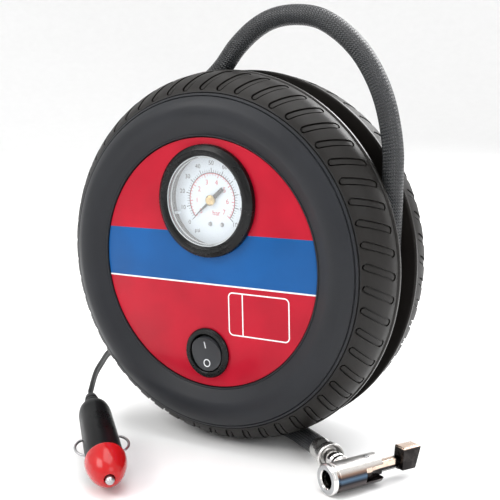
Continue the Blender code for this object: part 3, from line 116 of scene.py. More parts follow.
class InflatorTyre(bpy.types.PropertyGroup):
    """Sizes of the two tyre halves. Heights count outwards from the plane where the halves meet."""

    sides: count("Sides", "Sides of each tyre half", 324)
    slots: count("Tread slots", "Slots round the tread of each half", 54)
    slot_width: length("Slot width", "Width of a tread slot", 0.0036)
    slot_depth: length("Slot depth", "Depth of a tread slot", 0.0009)
    slot_slant: FloatProperty(
        name="Slot slant",
        description="Turn of a tread slot from front to back",
        default=math.radians(24),
        subtype="ANGLE",
    )
    groove_floor: length("Groove floor", "Radius of the floor of the hose groove", 0.0740)
    groove_half: length("Half groove", "Half the width of the hose groove", 0.0080)
    seat: length("Plate seat", "Radius of the seat that the face plate lies in", 0.0590)
    wall_face: length("Wall face", "Height of the wall behind the face plate", 0.0277)
    wall: length("Wall", "Thickness of the moulded wall", 0.0024)


class InflatorFace(bpy.types.PropertyGroup):
    """Sizes of what the dial face carries."""

    band_top: length("Band top", "Top of the blue band, above the axle", 0.0148)
    band_bottom: length("Band bottom", "Bottom of the blue band, above the axle", -0.0090)
    frame_x: length("Frame place", "Middle of the printed frame, right of the axle", 0.0283)
    frame_z: length("Frame height", "Middle of the printed frame, above the axle", -0.0223)
    frame_width: length("Frame width", "Width of the printed frame", 0.0320)
    frame_height: length("Frame tallness", "Height of the printed frame", 0.0199)
    frame_line: length("Frame line", "Thickness of the printed frame's line", 0.0006)
    needle_rest: FloatProperty(
        name="Zero", description="Angle of the zero of the scale", default=math.radians(220), subtype="ANGLE"
    )
    needle_sweep: FloatProperty(
        name="Sweep", description="Angle from zero to full scale", default=math.radians(260), subtype="ANGLE"
    )


class InflatorCords(bpy.types.PropertyGroup):
    """Sizes of the air hose and of the power cord."""

    hose_radius: length("Hose radius", "Outer radius of the braided air hose", 0.0047)
    hose_length: length("Hose length", "Length of the air hose from outlet to ferrule", 0.535)
    hose_sides: count("Hose sides", "Sides of the air hose", 40)
    strands: count("Strands", "Braid cells round the air hose", 26)
    flex_width: length("Flex width", "Width of the twin power cord", 0.0042)
    flex_length: length("Flex length", "Length of the power cord from gland to plug", 2.80)
    coil_radius: length("Coil radius", "Mean radius of the coiled cord", 0.0260)
    coil_pitch: length("Coil pitch", "Distance between the turns of the coil", 0.0047)
    coil_layers: count("Coil layers", "Layers of the coil", 4)


class InflatorColours(bpy.types.PropertyGroup):
    """Colours of the finishes."""

    tyre: colour("Tyre", "Moulded tyre halves", (0.0130, 0.0142, 0.0175))
    black: colour("Black", "Smooth black plastic", (0.0040, 0.0042, 0.0046))
    plate_red: colour("Plate red", "Red print of the face plate", (0.420, 0.006, 0.022))
    plate_blue: colour("Plate blue", "Blue band of the face plate", (0.005, 0.082, 0.275))
    plate_white: colour("Plate white", "White lines of the face plate", (0.82, 0.84, 0.86))
    plug_red: colour("Plug red", "Nose of the lighter plug", (0.450, 0.006, 0.008))
    chrome: colour("Chrome", "Bright plating", (0.78, 0.77, 0.76))
    steel: colour("Steel", "Plain steel", (0.50, 0.50, 0.51))
    brass: colour("Brass", "Turned brass", (0.66, 0.47, 0.19))
    aluminium: colour("Aluminium", "Cast and turned aluminium", (0.62, 0.63, 0.64))
    nylon: colour("Nylon", "Moulded nylon", (0.72, 0.71, 0.65))
    rubber: colour("Rubber", "Rubber and the cord's jacket", (0.0055, 0.0055, 0.0060))
    braid: colour("Braid", "Braided jacket of the air hose", (0.0060, 0.0075, 0.0100))
    dial: colour("Dial", "Dial card", (0.72, 0.80, 0.87))
    dial_black: colour("Dial black", "Black print of the dial", (0.010, 0.014, 0.022))
    dial_red: colour("Dial red", "Red print of the dial", (0.62, 0.030, 0.050))
    floor: colour("Floor", "Studio floor", (0.93, 0.93, 0.93))


# Placing.


def aimed(origin, along, side=(1, 0, 0)):
    """A placement whose Z axis runs along a direction and whose X axis keeps close to a side."""
    z_axis = Vector(along).normalized()
    y_axis = z_axis.cross(Vector(side)).normalized()
    x_axis = y_axis.cross(z_axis)
    turn = Matrix((x_axis, y_axis, z_axis)).transposed().to_4x4()
    return Matrix.Translation(origin) @ turn


def on_face(x, z):
    """A placement on the face plate, with Z out of the face, X to the right and Y up."""
    return aimed((x, PLATE_FACE, z), (0, -1, 0))


def wheel_point(radius, degrees, depth=0.0):
    """A point at a radius and angle about the wheel's axis."""
    angle = math.radians(degrees)
    return Vector((radius * math.cos(angle), depth, AXLE + radius * math.sin(angle)))


def rounded(corners, closed=False, step=12):
    """Points of an outline whose corners (x, y, radius) are rounded by arcs."""
    spots = [Vector(corner[:2]) for corner in corners]
    points = []
    for index, spot in enumerate(spots):
        radius = corners[index][2] if len(corners[index]) > 2 else 0
        if not radius or (not closed and index in (0, len(spots) - 1)):
            points.append(spot)
            continue
        before = spots[index - 1] - spot
        after = spots[(index + 1) % len(spots)] - spot
        opening = before.angle(after)
        reach = min(radius / math.tan(opening / 2), 0.49 * before.length, 0.49 * after.length)
        radius = reach * math.tan(opening / 2)
        halfway = (before.normalized() + after.normalized()).normalized()
        middle = spot + halfway * radius / math.sin(opening / 2)
        start = spot + before.normalized() * reach - middle
        turn = math.pi - opening
        if before.cross(after) > 0:
            turn = -turn
        parts = max(2, math.ceil(abs(math.degrees(turn)) / step))
        for part in range(parts + 1):
            points.append(middle + Matrix.Rotation(turn * part / parts, 2) @ start)
    return points


def smooth_line(route, step):
    """Points about a step apart on a smooth curve through the route's own points."""
    ends = [2 * route[0] - route[1], *route, 2 * route[-1] - route[-2]]
    fine = []
    for before, start, end, after in zip(ends, ends[1:], ends[2:], ends[3:]):
        for index in range(24):
            t = index / 24
            fine.append(
                0.5
                * (
                    2 * start
                    + (end - before) * t
                    + (2 * before - 5 * start + 4 * end - after) * t**2
                    + (3 * start - before - 3 * end + after) * t**3
                )
            )
    fine.append(route[-1])
    return evenly_spaced(fine, step)


def evenly_spaced(fine, step):
    """The same line with its points an even distance apart, and with its two ends kept."""
    lengths = [0.0]
    for start, end in zip(fine, fine[1:]):
        lengths.append(lengths[-1] + (end - start).length)
    pieces = max(2, round(lengths[-1] / step))
    spaced = []
    index = 0
    for number in range(pieces + 1):
        wanted = lengths[-1] * number / pieces
        while index < len(fine) - 2 and lengths[index + 1] < wanted:
            index += 1
        share = (wanted - lengths[index]) / max(lengths[index + 1] - lengths[index], 1e-9)
        spaced.append(fine[index].lerp(fine[index + 1], min(share, 1.0)))
    return spaced


def apart(points, least):
    """The line without the points that lie closer together than the least distance."""
    kept = [points[0]]
    for point in points[1:-1]:
        if (point - kept[-1]).length > least and (points[-1] - point).length > least:
            kept.append(point)
    return [*kept, points[-1]]


def shifted(line, distance):
    """A flat line moved sideways by a distance, to the left of its own direction."""
    moved = []
    for index, point in enumerate(line):
        way = (line[min(index + 1, len(line) - 1)] - line[max(index - 1, 0)]).normalized()
        moved.append(point + Vector((-way.y, way.x)) * distance)
    return moved


# Modelling.


def choose(obj=None):
    """Leaves only this object selected, in object mode."""
    if bpy.context.mode != "OBJECT":
        bpy.ops.object.mode_set(mode="OBJECT")
    bpy.ops.object.select_all(action="DESELECT")
    if obj is not None:
        obj.select_set(True)
        bpy.context.view_layer.objects.active = obj


def edit(obj):
    """Opens an object's mesh with all of it selected."""
    choose(obj)
    bpy.ops.object.mode_set(mode="EDIT")
    bpy.ops.mesh.select_mode(type="VERT")
    bpy.ops.mesh.select_all(action="SELECT")


def drawn(name, points, closed=False):
    """A line drawn by setting down one point and extruding it from each place to the next."""
    choose()
    bpy.ops.mesh.primitive_plane_add(size=0.001, location=points[0])
    obj = bpy.context.object
    obj.name = obj.data.name = name
    bpy.ops.object.transform_apply(location=True, rotation=True, scale=True)
    edit(obj)
    bpy.ops.mesh.merge(type="CENTER")
    way = [*points, points[0]] if closed else points
    for start, end in zip(way, way[1:]):
        bpy.ops.mesh.extrude_region_move(TRANSFORM_OT_translate={"value": end - start})
    bpy.ops.mesh.select_all(action="SELECT")
    if closed:
        bpy.ops.mesh.remove_doubles(threshold=1e-7)
    return obj


def close_up():
    """Merges what meets and turns every face outwards."""
    bpy.ops.mesh.select_all(action="SELECT")
    bpy.ops.mesh.remove_doubles(threshold=1e-6)
    bpy.ops.mesh.normals_make_consistent(inside=False)
    bpy.ops.object.mode_set(mode="OBJECT")


def turned(name, outline, place, sides=96, closed=False):
    """A round piece: an outline (radius, height) spun about the Z axis of its placement."""
    obj = drawn(name, [place @ Vector((radius, 0, height)) for radius, height in outline], closed)
    axis = place.to_3x3() @ Vector((0, 0, 1))
    bpy.ops.mesh.spin(steps=sides, angle=math.tau, center=place.translation, axis=axis)
    close_up()
    return obj


def slab(name, outline, low, high, place, bevel=0.0, segments=3):
    """A flat piece: an outline (x, y) filled and extruded along the Z axis of its placement."""
    obj = drawn(name, [place @ Vector((x, y, low)) for x, y in outline], closed=True)
    bpy.ops.mesh.edge_face_add()
    rise = place.to_3x3() @ Vector((0, 0, high - low))
    bpy.ops.mesh.extrude_region_move(TRANSFORM_OT_translate={"value": rise})
    close_up()
    if bevel:
        finished(
            obj, "BEVEL", width=bevel, segments=segments, limit_method="ANGLE", angle_limit=math.radians(40)
        )
    return obj


def disc(radius, sides=96, x=0.0, y=0.0):
    """Outline of a circle."""
    return [
        Vector(
            (
                x + radius * math.cos(math.tau * side / sides),
                y + radius * math.sin(math.tau * side / sides),
            )
        )
        for side in range(sides)
    ]


def box(width, height, corner, x=0.0, y=0.0):
    """Outline of a rectangle with rounded corners."""
    half, tall = width / 2, height / 2
    signs = ((-1, -1), (1, -1), (1, 1), (-1, 1))
    return rounded([(x + side * half, y + end * tall, corner) for side, end in signs], closed=True)


def peg(name, radius, low, high, place, sides=48):
    """A plain round rod along the Z axis of its placement."""
    return slab(name, disc(radius, sides), low, high, place)


def finished(obj, kind, **settings):
    """Adds a modifier and applies it."""
    choose(obj)
    modifier = obj.modifiers.new(kind.title(), kind)
    for name, value in settings.items():
        setattr(modifier, name, value)
    bpy.ops.object.modifier_apply(modifier=modifier.name)
    return obj


def combined(target, tool, operation, solver="EXACT"):
    finished(target, "BOOLEAN", object=tool, operation=operation, solver=solver)
    bpy.data.objects.remove(tool)
    return target


def cut(target, tool, solver="EXACT"):
    return combined(target, tool, "DIFFERENCE", solver)


def welded(target, tool, solver="EXACT"):
    return combined(target, tool, "UNION", solver)


def gathered(name, objects):
    """Several objects joined as one."""
    choose(objects[0])
    for obj in objects:
        obj.select_set(True)
    bpy.ops.object.join()
    obj = bpy.context.object
    obj.name = obj.data.name = name
    return obj


def copied(obj, move):
    """A copy of an object with its own mesh, moved by a matrix."""
    choose(obj)
    bpy.ops.object.duplicate(linked=False)
    made = bpy.context.object
    made.data.transform(move)
    return made


def swept(name, points, section, turns=None):
    """A tube whose section (x, y) follows a line. Turns gives the section's lean at each point, in radians.

    The UV map runs from 0 to 1 round the section, and along the line in metres.
    """
    shape = bmesh.new()
    rings = []
    side = None
    for index, point in enumerate(points):
        way = (points[min(index + 1, len(points) - 1)] - points[max(index - 1, 0)]).normalized()
        if turns is None:
            if side is None:
                side = way.orthogonal()
            side = (side - way * side.dot(way)).normalized()
            lean = 0.0
        else:
            side = way.cross(Vector((0, 0, 1))).normalized()
            lean = turns[index]
        rise = side.cross(way)
        across = side * math.cos(lean) + rise * math.sin(lean)
        up = rise * math.cos(lean) - side * math.sin(lean)
        rings.append([shape.verts.new(point + across * x + up * y) for x, y in section])
    uv = shape.loops.layers.uv.new("Along")
    along = 0.0
    sides = len(section)
    for index, (ring, following) in enumerate(zip(rings, rings[1:])):
        further = along + (points[index + 1] - points[index]).length
        for number in range(sides):
            after = (number + 1) % sides
            face = shape.faces.new((ring[number], ring[after], following[after], following[number]))
            face.smooth = True
            spots = ((number, along), (number + 1, along), (number + 1, further), (number, further))
            for loop, (u, v) in zip(face.loops, spots):
                loop[uv].uv = (u / sides, v)
        along = further
    shape.faces.new(list(reversed(rings[0])))
    shape.faces.new(rings[-1])
    bmesh.ops.recalc_face_normals(shape, faces=shape.faces)
    mesh = bpy.data.meshes.new(name)
    shape.to_mesh(mesh)
    shape.free()
    obj = bpy.data.objects.new(name, mesh)
    bpy.context.scene.collection.objects.link(obj)
    return obj


def lettering(name, text, height, place, thickness):
    """Words or numbers standing just proud of a surface, centred on their placement."""
    choose()
    bpy.ops.object.text_add()
    obj = bpy.context.object
    obj.data.body = text
    obj.data.size = height
    obj.data.align_x = "CENTER"
    obj.data.align_y = "CENTER"
    obj.data.extrude = thickness / 2
    obj.data.resolution_u = 3
    bpy.ops.object.convert(target="MESH")
    obj.data.transform(place)
    obj.name = obj.data.name = name
    return obj


def settled(obj, look, body, *nodes, slot, sharp=35):
    """Shades a piece, gives it its finish, sets it on its body and hides the nodes that it stands for."""
    choose(obj)
    bpy.ops.object.shade_smooth_by_angle(angle=math.radians(sharp))
    obj.data.materials.clear()
    obj.data.materials.append(look)
    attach(obj, body)
    if nodes:
        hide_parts(*nodes)
    return obj


# Finishes.


class Finish:
    """A procedural finish that is built node by node around one Principled shader."""

    def __init__(self, name, base, roughness, metallic=0.0, **sockets):
        self.look = bpy.data.materials.new(name)
        self.look.use_nodes = True
        self.tree = self.look.node_tree
        self.shader = self.tree.nodes["Principled BSDF"]
        values = {"Base Color": (*base, 1), "Roughness": roughness, "Metallic": metallic}
        values.update({key.replace("_", " "): value for key, value in sockets.items()})
        for key, value in values.items():
            self.shader.inputs[key].default_value = value
        self.look.diffuse_color = (*base, 1)
        self.coordinates = self.tree.nodes.new("ShaderNodeTexCoord")
        self.spot = self.coordinates.outputs["Object"]

    def put(self, value, socket):
        if isinstance(value, bpy.types.NodeSocket):
            self.tree.links.new(value, socket)
        else:
            socket.default_value = value

    def add(self, kind, inputs=(), **settings):
        """A node with its settings, and its inputs given as (socket, value or link) pairs."""
        node = self.tree.nodes.new("ShaderNode" + kind)
        for key, value in settings.items():
            setattr(node, key, value)
        for key, value in inputs:
            self.put(value, node.inputs[key])
        return node

    def maths(self, operation, first, second=0.0):
        return self.add("Math", ((0, first), (1, second)), operation=operation).outputs[0]

    def vector(self, operation, first, second=(0, 0, 0)):
        return self.add("VectorMath", ((0, first), (1, second)), operation=operation)

    def noise(self, size, detail=3.0, stretch=None):
        """Cloudy variation whose patches are about a size across."""
        spot = self.spot
        if stretch:
            spot = self.add("Mapping", (("Vector", spot), ("Scale", stretch))).outputs[0]
        return self.add("TexNoise", (("Vector", spot), ("Scale", 1 / size), ("Detail", detail))).outputs[0]

    def spread(self, value, low, high, to_low, to_high):
        names = ("Value", "From Min", "From Max", "To Min", "To Max")
        return self.add("MapRange", zip(names, (value, low, high, to_low, to_high))).outputs[0]

    def mixed(self, share, first, second):
        node = self.add("Mix", data_type="RGBA")
        for index, value in ((0, share), (6, first), (7, second)):
            is_colour = isinstance(value, (tuple, list)) and len(value) == 3
            self.put((*value, 1) if is_colour else value, node.inputs[index])
        return node.outputs[2]

    def relief(self, height, depth, strength=1.0, normal=None):
        pairs = [("Height", height), ("Distance", depth), ("Strength", strength)]
        if normal:
            pairs.append(("Normal", normal))
        return self.add("Bump", pairs).outputs[0]

    def set(self, **sockets):
        for key, value in sockets.items():
            self.put(value, self.shader.inputs[key.replace("_", " ")])
        return self.look


def toned(base, share):
    """A colour made darker or lighter by a share."""
    return tuple(min(1.0, part * (1 + share)) for part in base)


def moulded(name, base, roughness, grain=0.0005, depth=0.00002, mottle=0.16, **sockets):
    """Moulded plastic or rubber: a fine grain, cloudy tone and patches that hands have polished."""
    base = tuple(base)
    finish = Finish(name, base, roughness, **sockets)
    cloud = finish.noise(0.021, 4)
    fine = finish.noise(grain, 2)
    worn = finish.maths("ADD", finish.maths("MULTIPLY", cloud, 0.7), finish.maths("MULTIPLY", fine, 0.3))
    tone = finish.mixed(finish.spread(worn, 0.36, 0.64, 0, 1), toned(base, -mottle), toned(base, mottle))
    return finish.set(
        Base_Color=tone,
        Roughness=finish.spread(worn, 0.34, 0.66, roughness - 0.07, roughness + 0.07),
        Normal=finish.relief(fine, depth),
    )


def metal(name, base, roughness, brush=(1, 1, 1), depth=0.000006, **sockets):
    """Metal with a fine brushed or turned grain and smudges that dull it."""
    base = tuple(base)
    finish = Finish(name, base, roughness, 1.0, **sockets)
    smudge = finish.noise(0.0045, 5)
    fine = finish.noise(0.0004, 2, brush)
    tone = finish.mixed(finish.spread(smudge, 0.38, 0.66, 0, 1), base, toned(base, -0.22))
    return finish.set(
        Base_Color=tone,
        Roughness=finish.spread(smudge, 0.35, 0.68, roughness * 0.75, roughness * 1.5),
        Normal=finish.relief(fine, depth),
    )


def tyre_finish(name, colours, shine):
    """Charcoal moulding, matt on the sidewall and a little browner and duller round the tread."""
    base = tuple(colours.tyre)
    finish = Finish(name, base, 0.46, Specular_IOR_Level=shine)
    cloud = finish.noise(0.030, 4)
    fine = finish.noise(0.00042, 3)
    parts = finish.add("SeparateXYZ", ((0, finish.spot),))
    away = finish.maths("ABSOLUTE", parts.outputs["Y"])
    tread = finish.spread(away, 0.0286, 0.0292, 1.0, 0.0)
    worn = finish.maths("ADD", finish.maths("MULTIPLY", cloud, 0.75), finish.maths("MULTIPLY", fine, 0.25))
    share = finish.spread(worn, 0.36, 0.64, 0, 1)
    side_tone = finish.mixed(share, toned(base, -0.16), toned(base, 0.18))
    brown = (base[0] * 0.62, base[1] * 0.48, base[2] * 0.34)
    tread_tone = finish.mixed(share, toned(brown, -0.20), toned(brown, 0.16))
    above = finish.maths("SUBTRACT", parts.outputs["Z"], AXLE)
    flat = finish.add("CombineXYZ", (("X", parts.outputs["X"]), ("Z", above)))
    radius = finish.vector("LENGTH", flat.outputs[0]).outputs["Value"]
    lip = finish.spread(radius, 0.0884, 0.0888, 0.0, 1.0)
    matt = finish.spread(worn, 0.34, 0.66, 0.38, 0.54)
    return finish.set(
        Base_Color=finish.mixed(tread, side_tone, tread_tone),
        Roughness=finish.maths("SUBTRACT", matt, finish.maths("MULTIPLY", lip, 0.20)),
        Normal=finish.relief(fine, 0.00003),
    )


def plate_finish(colours, face):
    """The printed plate: red with a blue band, white edging and one rounded frame, under clear gloss."""
    shine = {"Specular_IOR_Level": 0.14, "Coat_Weight": 0.10, "Coat_Roughness": 0.09}
    finish = Finish("printed plate", tuple(colours.plate_red), 0.34, **shine)
    parts = finish.add("SeparateXYZ", ((0, finish.spot),))
    x = parts.outputs["X"]
    z = finish.maths("SUBTRACT", parts.outputs["Z"], AXLE)

    def between(low, high):
        above = finish.maths("GREATER_THAN", z, low)
        return finish.maths("MULTIPLY", above, finish.maths("LESS_THAN", z, high))

    band = between(face.band_bottom, face.band_top)
    edge = between(face.band_bottom - 0.0007, face.band_bottom)
    # Distance from the line of the rounded frame.
    corner = 0.0022
    far_x = finish.maths("ABSOLUTE", finish.maths("SUBTRACT", x, face.frame_x))
    far_z = finish.maths("ABSOLUTE", finish.maths("SUBTRACT", z, face.frame_z))
    over_x = finish.maths("MAXIMUM", finish.maths("SUBTRACT", far_x, face.frame_width / 2 - corner), 0.0)
    over_z = finish.maths("MAXIMUM", finish.maths("SUBTRACT", far_z, face.frame_height / 2 - corner), 0.0)
    squares = finish.maths("ADD", finish.maths("POWER", over_x, 2.0), finish.maths("POWER", over_z, 2.0))
    outside = finish.maths("SUBTRACT", finish.maths("SQRT", squares), corner)
    past = finish.maths("LESS_THAN", outside, face.frame_line / 2)
    ring = finish.maths("MULTIPLY", past, finish.maths("GREATER_THAN", outside, -face.frame_line / 2))
    # The short line that parts the left end of the frame from the rest.
    split_at = face.frame_x - face.frame_width / 2 + 0.0075
    split_x = finish.maths("ABSOLUTE", finish.maths("SUBTRACT", x, split_at))
    on_split = finish.maths("LESS_THAN", split_x, face.frame_line / 2)
    split = finish.maths("MULTIPLY", on_split, finish.maths("LESS_THAN", outside, 0.0))
    ring_or_edge = finish.maths("MAXIMUM", finish.maths("MAXIMUM", ring, split), edge)
    cloud = finish.noise(0.026, 4)
    speck = finish.noise(0.00035, 2)
    share = finish.spread(cloud, 0.35, 0.65, 0, 1)
    red = finish.mixed(share, toned(colours.plate_red, -0.10), toned(colours.plate_red, 0.10))
    blue = finish.mixed(share, toned(colours.plate_blue, -0.12), toned(colours.plate_blue, 0.10))
    ground = finish.mixed(band, red, blue)
    printed = finish.mixed(ring_or_edge, ground, tuple(colours.plate_white))
    return finish.set(
        Base_Color=printed,
        Roughness=finish.spread(cloud, 0.3, 0.7, 0.28, 0.42),
        Normal=finish.relief(speck, 0.000004),
    )


def braid_finish(colours, strands):
    """A braided jacket: two families of strands that pass over and under each other, with painted shade darkening the
    low places between the strands.
    """
    base = tuple(colours.braid)
    finish = Finish("braided jacket", base, 0.36, Specular_IOR_Level=0.75)
    round_hose = 2 * math.pi * 0.0047
    parts = finish.add("SeparateXYZ", ((0, finish.coordinates.outputs["UV"]),))
    u = finish.maths("MULTIPLY", parts.outputs["X"], float(strands))
    v = finish.maths("MULTIPLY", parts.outputs["Y"], strands / round_hose * 0.8)
    one = finish.maths("ADD", u, v)
    two = finish.maths("SUBTRACT", u, v)
    over_one = finish.maths("ABSOLUTE", finish.maths("SINE", finish.maths("MULTIPLY", one, math.pi)))
    over_two = finish.maths("ABSOLUTE", finish.maths("SINE", finish.maths("MULTIPLY", two, math.pi)))
    cells = finish.maths("ADD", finish.maths("FLOOR", one), finish.maths("FLOOR", two))
    parity = finish.maths("ABSOLUTE", finish.maths("MODULO", cells, 2.0))
    first = finish.maths("MULTIPLY", over_one, parity)
    second = finish.maths("MULTIPLY", over_two, finish.maths("SUBTRACT", 1.0, parity))
    height = finish.maths("ADD", first, second)
    thread = finish.noise(0.00025, 2)
    cloud = finish.noise(0.012, 3)
    light = finish.mixed(parity, toned(base, 0.35), toned(base, 0.85))
    # Painted shade: where the strands dip, the colour falls to a much darker tone.
    shade = finish.mixed(finish.spread(height, 0.0, 0.75, 0, 1), toned(base, -0.75), light)
    tone = finish.mixed(finish.spread(cloud, 0.4, 0.7, 0, 0.5), shade, toned(base, -0.45))
    rough = finish.relief(thread, 0.00004)
    return finish.set(
        Base_Color=tone,
        Roughness=finish.spread(height, 0.0, 1.0, 0.60, 0.24),
        Normal=finish.relief(height, 0.00040, 1.0, rough),
    )


def streaked_chrome_finish(colours):
    """Plating with painted reflections: dark, blue and copper bands by height along its flank and white on top stand
    in for what the plating mirrors; the mouth ring stays bright.
    """
    base = tuple(colours.chrome)
    finish = Finish("chrome with painted reflections", base, 0.10, 1.0)
    smudge = finish.noise(0.0045, 5)
    fine = finish.noise(0.0003, 2, (1, 1, 4))
    parts = finish.add("SeparateXYZ", ((0, finish.spot),))
    height = finish.spread(parts.outputs["Z"], 0.0, 0.0142, 0.0, 1.0)
    # Painted reflection: this ramp by height puts dark, blue and copper bands on the flank and white on the top.
    ramp = finish.add("ValToRGB", (("Fac", height),))
    stops = (
        (0.00, (0.30, 0.28, 0.27)),
        (0.10, (0.06, 0.05, 0.05)),
        (0.28, (0.12, 0.10, 0.10)),
        (0.42, (0.018, 0.018, 0.022)),
        (0.53, (0.075, 0.12, 0.18)),
        (0.61, (0.045, 0.045, 0.055)),
        (0.69, (0.34, 0.22, 0.165)),
        (0.79, (0.88, 0.84, 0.80)),
        (1.00, base),
    )
    elements = ramp.color_ramp.elements
    elements[0].position, elements[0].color = stops[0][0], (*stops[0][1], 1)
    elements[1].position, elements[1].color = stops[-1][0], (*stops[-1][1], 1)
    for place, tint in stops[1:-1]:
        elements.new(place).color = (*tint, 1)
    from_mouth = finish.vector("SUBTRACT", finish.spot, MOUTH).outputs[0]
    along = finish.vector("DOT_PRODUCT", from_mouth, BARREL_WAY).outputs["Value"]
    ring = finish.spread(along, 0.0026, 0.0030, 0.0, 1.0)
    front = finish.spread(along, 0.0001, 0.0003, 0.0, 1.0)
    mouth = finish.mixed(front, (0.40, 0.41, 0.42), base)
    softer = finish.spread(height, 0.74, 0.90, 0.0, 0.26)
    return finish.set(
        Base_Color=finish.mixed(ring, mouth, ramp.outputs["Color"]),
        Roughness=finish.maths("ADD", softer, finish.spread(smudge, 0.35, 0.68, 0.07, 0.15)),
        Normal=finish.relief(fine, 0.000004),
    )


def lever_finish(colours):
    """Plated lever: a painted warm reflection on its upper faces and painted near-black shade on its flanks."""
    base = tuple(colours.chrome)
    finish = Finish("plated lever with painted reflection and shade", base, 0.22, 1.0)
    smudge = finish.noise(0.0035, 5)
    fine = finish.noise(0.0003, 2, (1, 1, 4))
    parts = finish.add("SeparateXYZ", ((0, finish.spot),))
    from_mouth = finish.vector("SUBTRACT", finish.spot, MOUTH).outputs[0]
    along = finish.vector("DOT_PRODUCT", from_mouth, BARREL_WAY).outputs["Value"]
    # Painted light: above this edge the lever gets a warm painted reflection, below it a near-black painted shade.
    edge = finish.spread(along, 0.0350, 0.0352, 0.0072, 0.01385)
    above = finish.maths("SUBTRACT", parts.outputs["Z"], edge)
    upper = finish.spread(above, -0.0002, 0.0001, 0.0, 1.0)
    tone = finish.mixed(upper, (0.022, 0.020, 0.020), (0.80, 0.62, 0.50))
    return finish.set(
        Base_Color=finish.mixed(finish.spread(smudge, 0.45, 0.75, 0, 0.35), tone, (0.10, 0.09, 0.085)),
        Roughness=finish.spread(smudge, 0.35, 0.68, 0.16, 0.34),
        Normal=finish.relief(fine, 0.000005),
    )


def clear_finish(name, tint, roughness, transmission, **sockets):
    """Clear plastic or glass with faint wipe marks."""
    finish = Finish(name, tint, roughness, **{"Transmission_Weight": transmission, "IOR": 1.46, **sockets})
    smear = finish.noise(0.012, 4, (1, 1, 3))
    return finish.set(Roughness=finish.spread(smear, 0.4, 0.7, roughness, roughness + 0.03))


FINISHES = {}


def look(slot):
    """The finish of a material slot, made the first time that it is asked for."""
    if slot not in FINISHES:
        colours = bpy.context.scene.inflator_colours
        face = bpy.context.scene.inflator_face
        strands = bpy.context.scene.inflator_cords.strands
        makers = {
            "tyre_black": lambda: tyre_finish("tyre moulding", colours, 0.26),
            "duller_tyre_black": lambda: tyre_finish("duller tyre moulding", colours, 0.12),
            "black_plastic": lambda: moulded(
                "gloss black plastic", colours.black, 0.26, 0.0011, 0.000006, Specular_IOR_Level=0.24
            ),
            "plate_red": lambda: plate_finish(colours, face),
            "plug_black": lambda: moulded(
                "plug shell plastic", colours.black, 0.33, 0.0009, 0.000006, Specular_IOR_Level=0.10
            ),
            "plug_red": lambda: moulded(
                "red gloss plastic",
                colours.plug_red,
                0.20,
                0.004,
                0.00002,
                0.10,
                Specular_IOR_Level=0.3,
                Coat_Weight=0.2,
                Coat_Roughness=0.06,
            ),
            "chrome": lambda: metal("chrome", colours.chrome, 0.085),
            "painted_reflection_chrome": lambda: streaked_chrome_finish(colours),
            "satin_chrome": lambda: metal("satin chrome", (0.86, 0.85, 0.83), 0.30),
            "lever_painted_light_chrome": lambda: lever_finish(colours),
            "steel": lambda: metal("steel", colours.steel, 0.30, (1, 1, 6)),
            "brass": lambda: metal("brass", colours.brass, 0.27, (6, 1, 1)),
            "aluminium": lambda: metal("aluminium", colours.aluminium, 0.38, (1, 1, 4), 0.00001),
            "nylon": lambda: moulded("nylon", colours.nylon, 0.44, 0.0008, 0.00001, 0.06),
            "rubber": lambda: moulded(
                "rubber", colours.rubber, 0.47, 0.0006, 0.00002, Specular_IOR_Level=0.22
            ),
            "braid": lambda: braid_finish(colours, strands),
            "dial_white": lambda: moulded("dial card", colours.dial, 0.42, 0.0003, 0.000002, 0.03),
            "clear_plastic": lambda: clear_finish("clear plastic", (0.90, 0.93, 0.95), 0.05, 0.92),
            "glass": lambda: clear_finish(
                "glass", (0.97, 0.98, 0.98), 0.02, 0.0, Alpha=0.12, Specular_IOR_Level=0.9
            ),
            # A painted glint for the clear lens edges.
            "lens_edge_painted_glint": lambda: moulded(
                "lens edge with painted glint", (0.62, 0.65, 0.67), 0.20, 0.0010, 0.000003, 0.05
            ),
            "print_black": lambda: moulded("black dial ink", colours.dial_black, 0.40, 0.0004, 0.000001),
            "print_red": lambda: moulded("red dial ink", colours.dial_red, 0.40, 0.0004, 0.000001),
            "white_ink": lambda: moulded("white ink", (0.72, 0.74, 0.76), 0.40, 0.0004, 0.000002, 0.08),
            "pocket": lambda: moulded("dark pocket plastic", (0.005, 0.005, 0.006), 0.50),
            "floor": lambda: moulded("studio floor", colours.floor, 0.60, 0.03, 0.00001, 0.01),
        }
        FINISHES[slot] = makers[slot]()
    return FINISHES[slot]


# Cord routes.


def outlet_start():
    """Where the air hose leaves its outlet in the groove, and the direction in which it leaves."""
    bed = 0.0798
    out = wheel_point(1, -35) - wheel_point(0, -35)
    return wheel_point(bed, -35), Vector((-out.z, 0, out.x))


def ferrule_start():
    """Where the hose goes into its ferrule."""
    return MOUTH + BARREL_WAY * NECK_AT + NECK_WAY * (NECK_END + FERRULE_LENGTH)


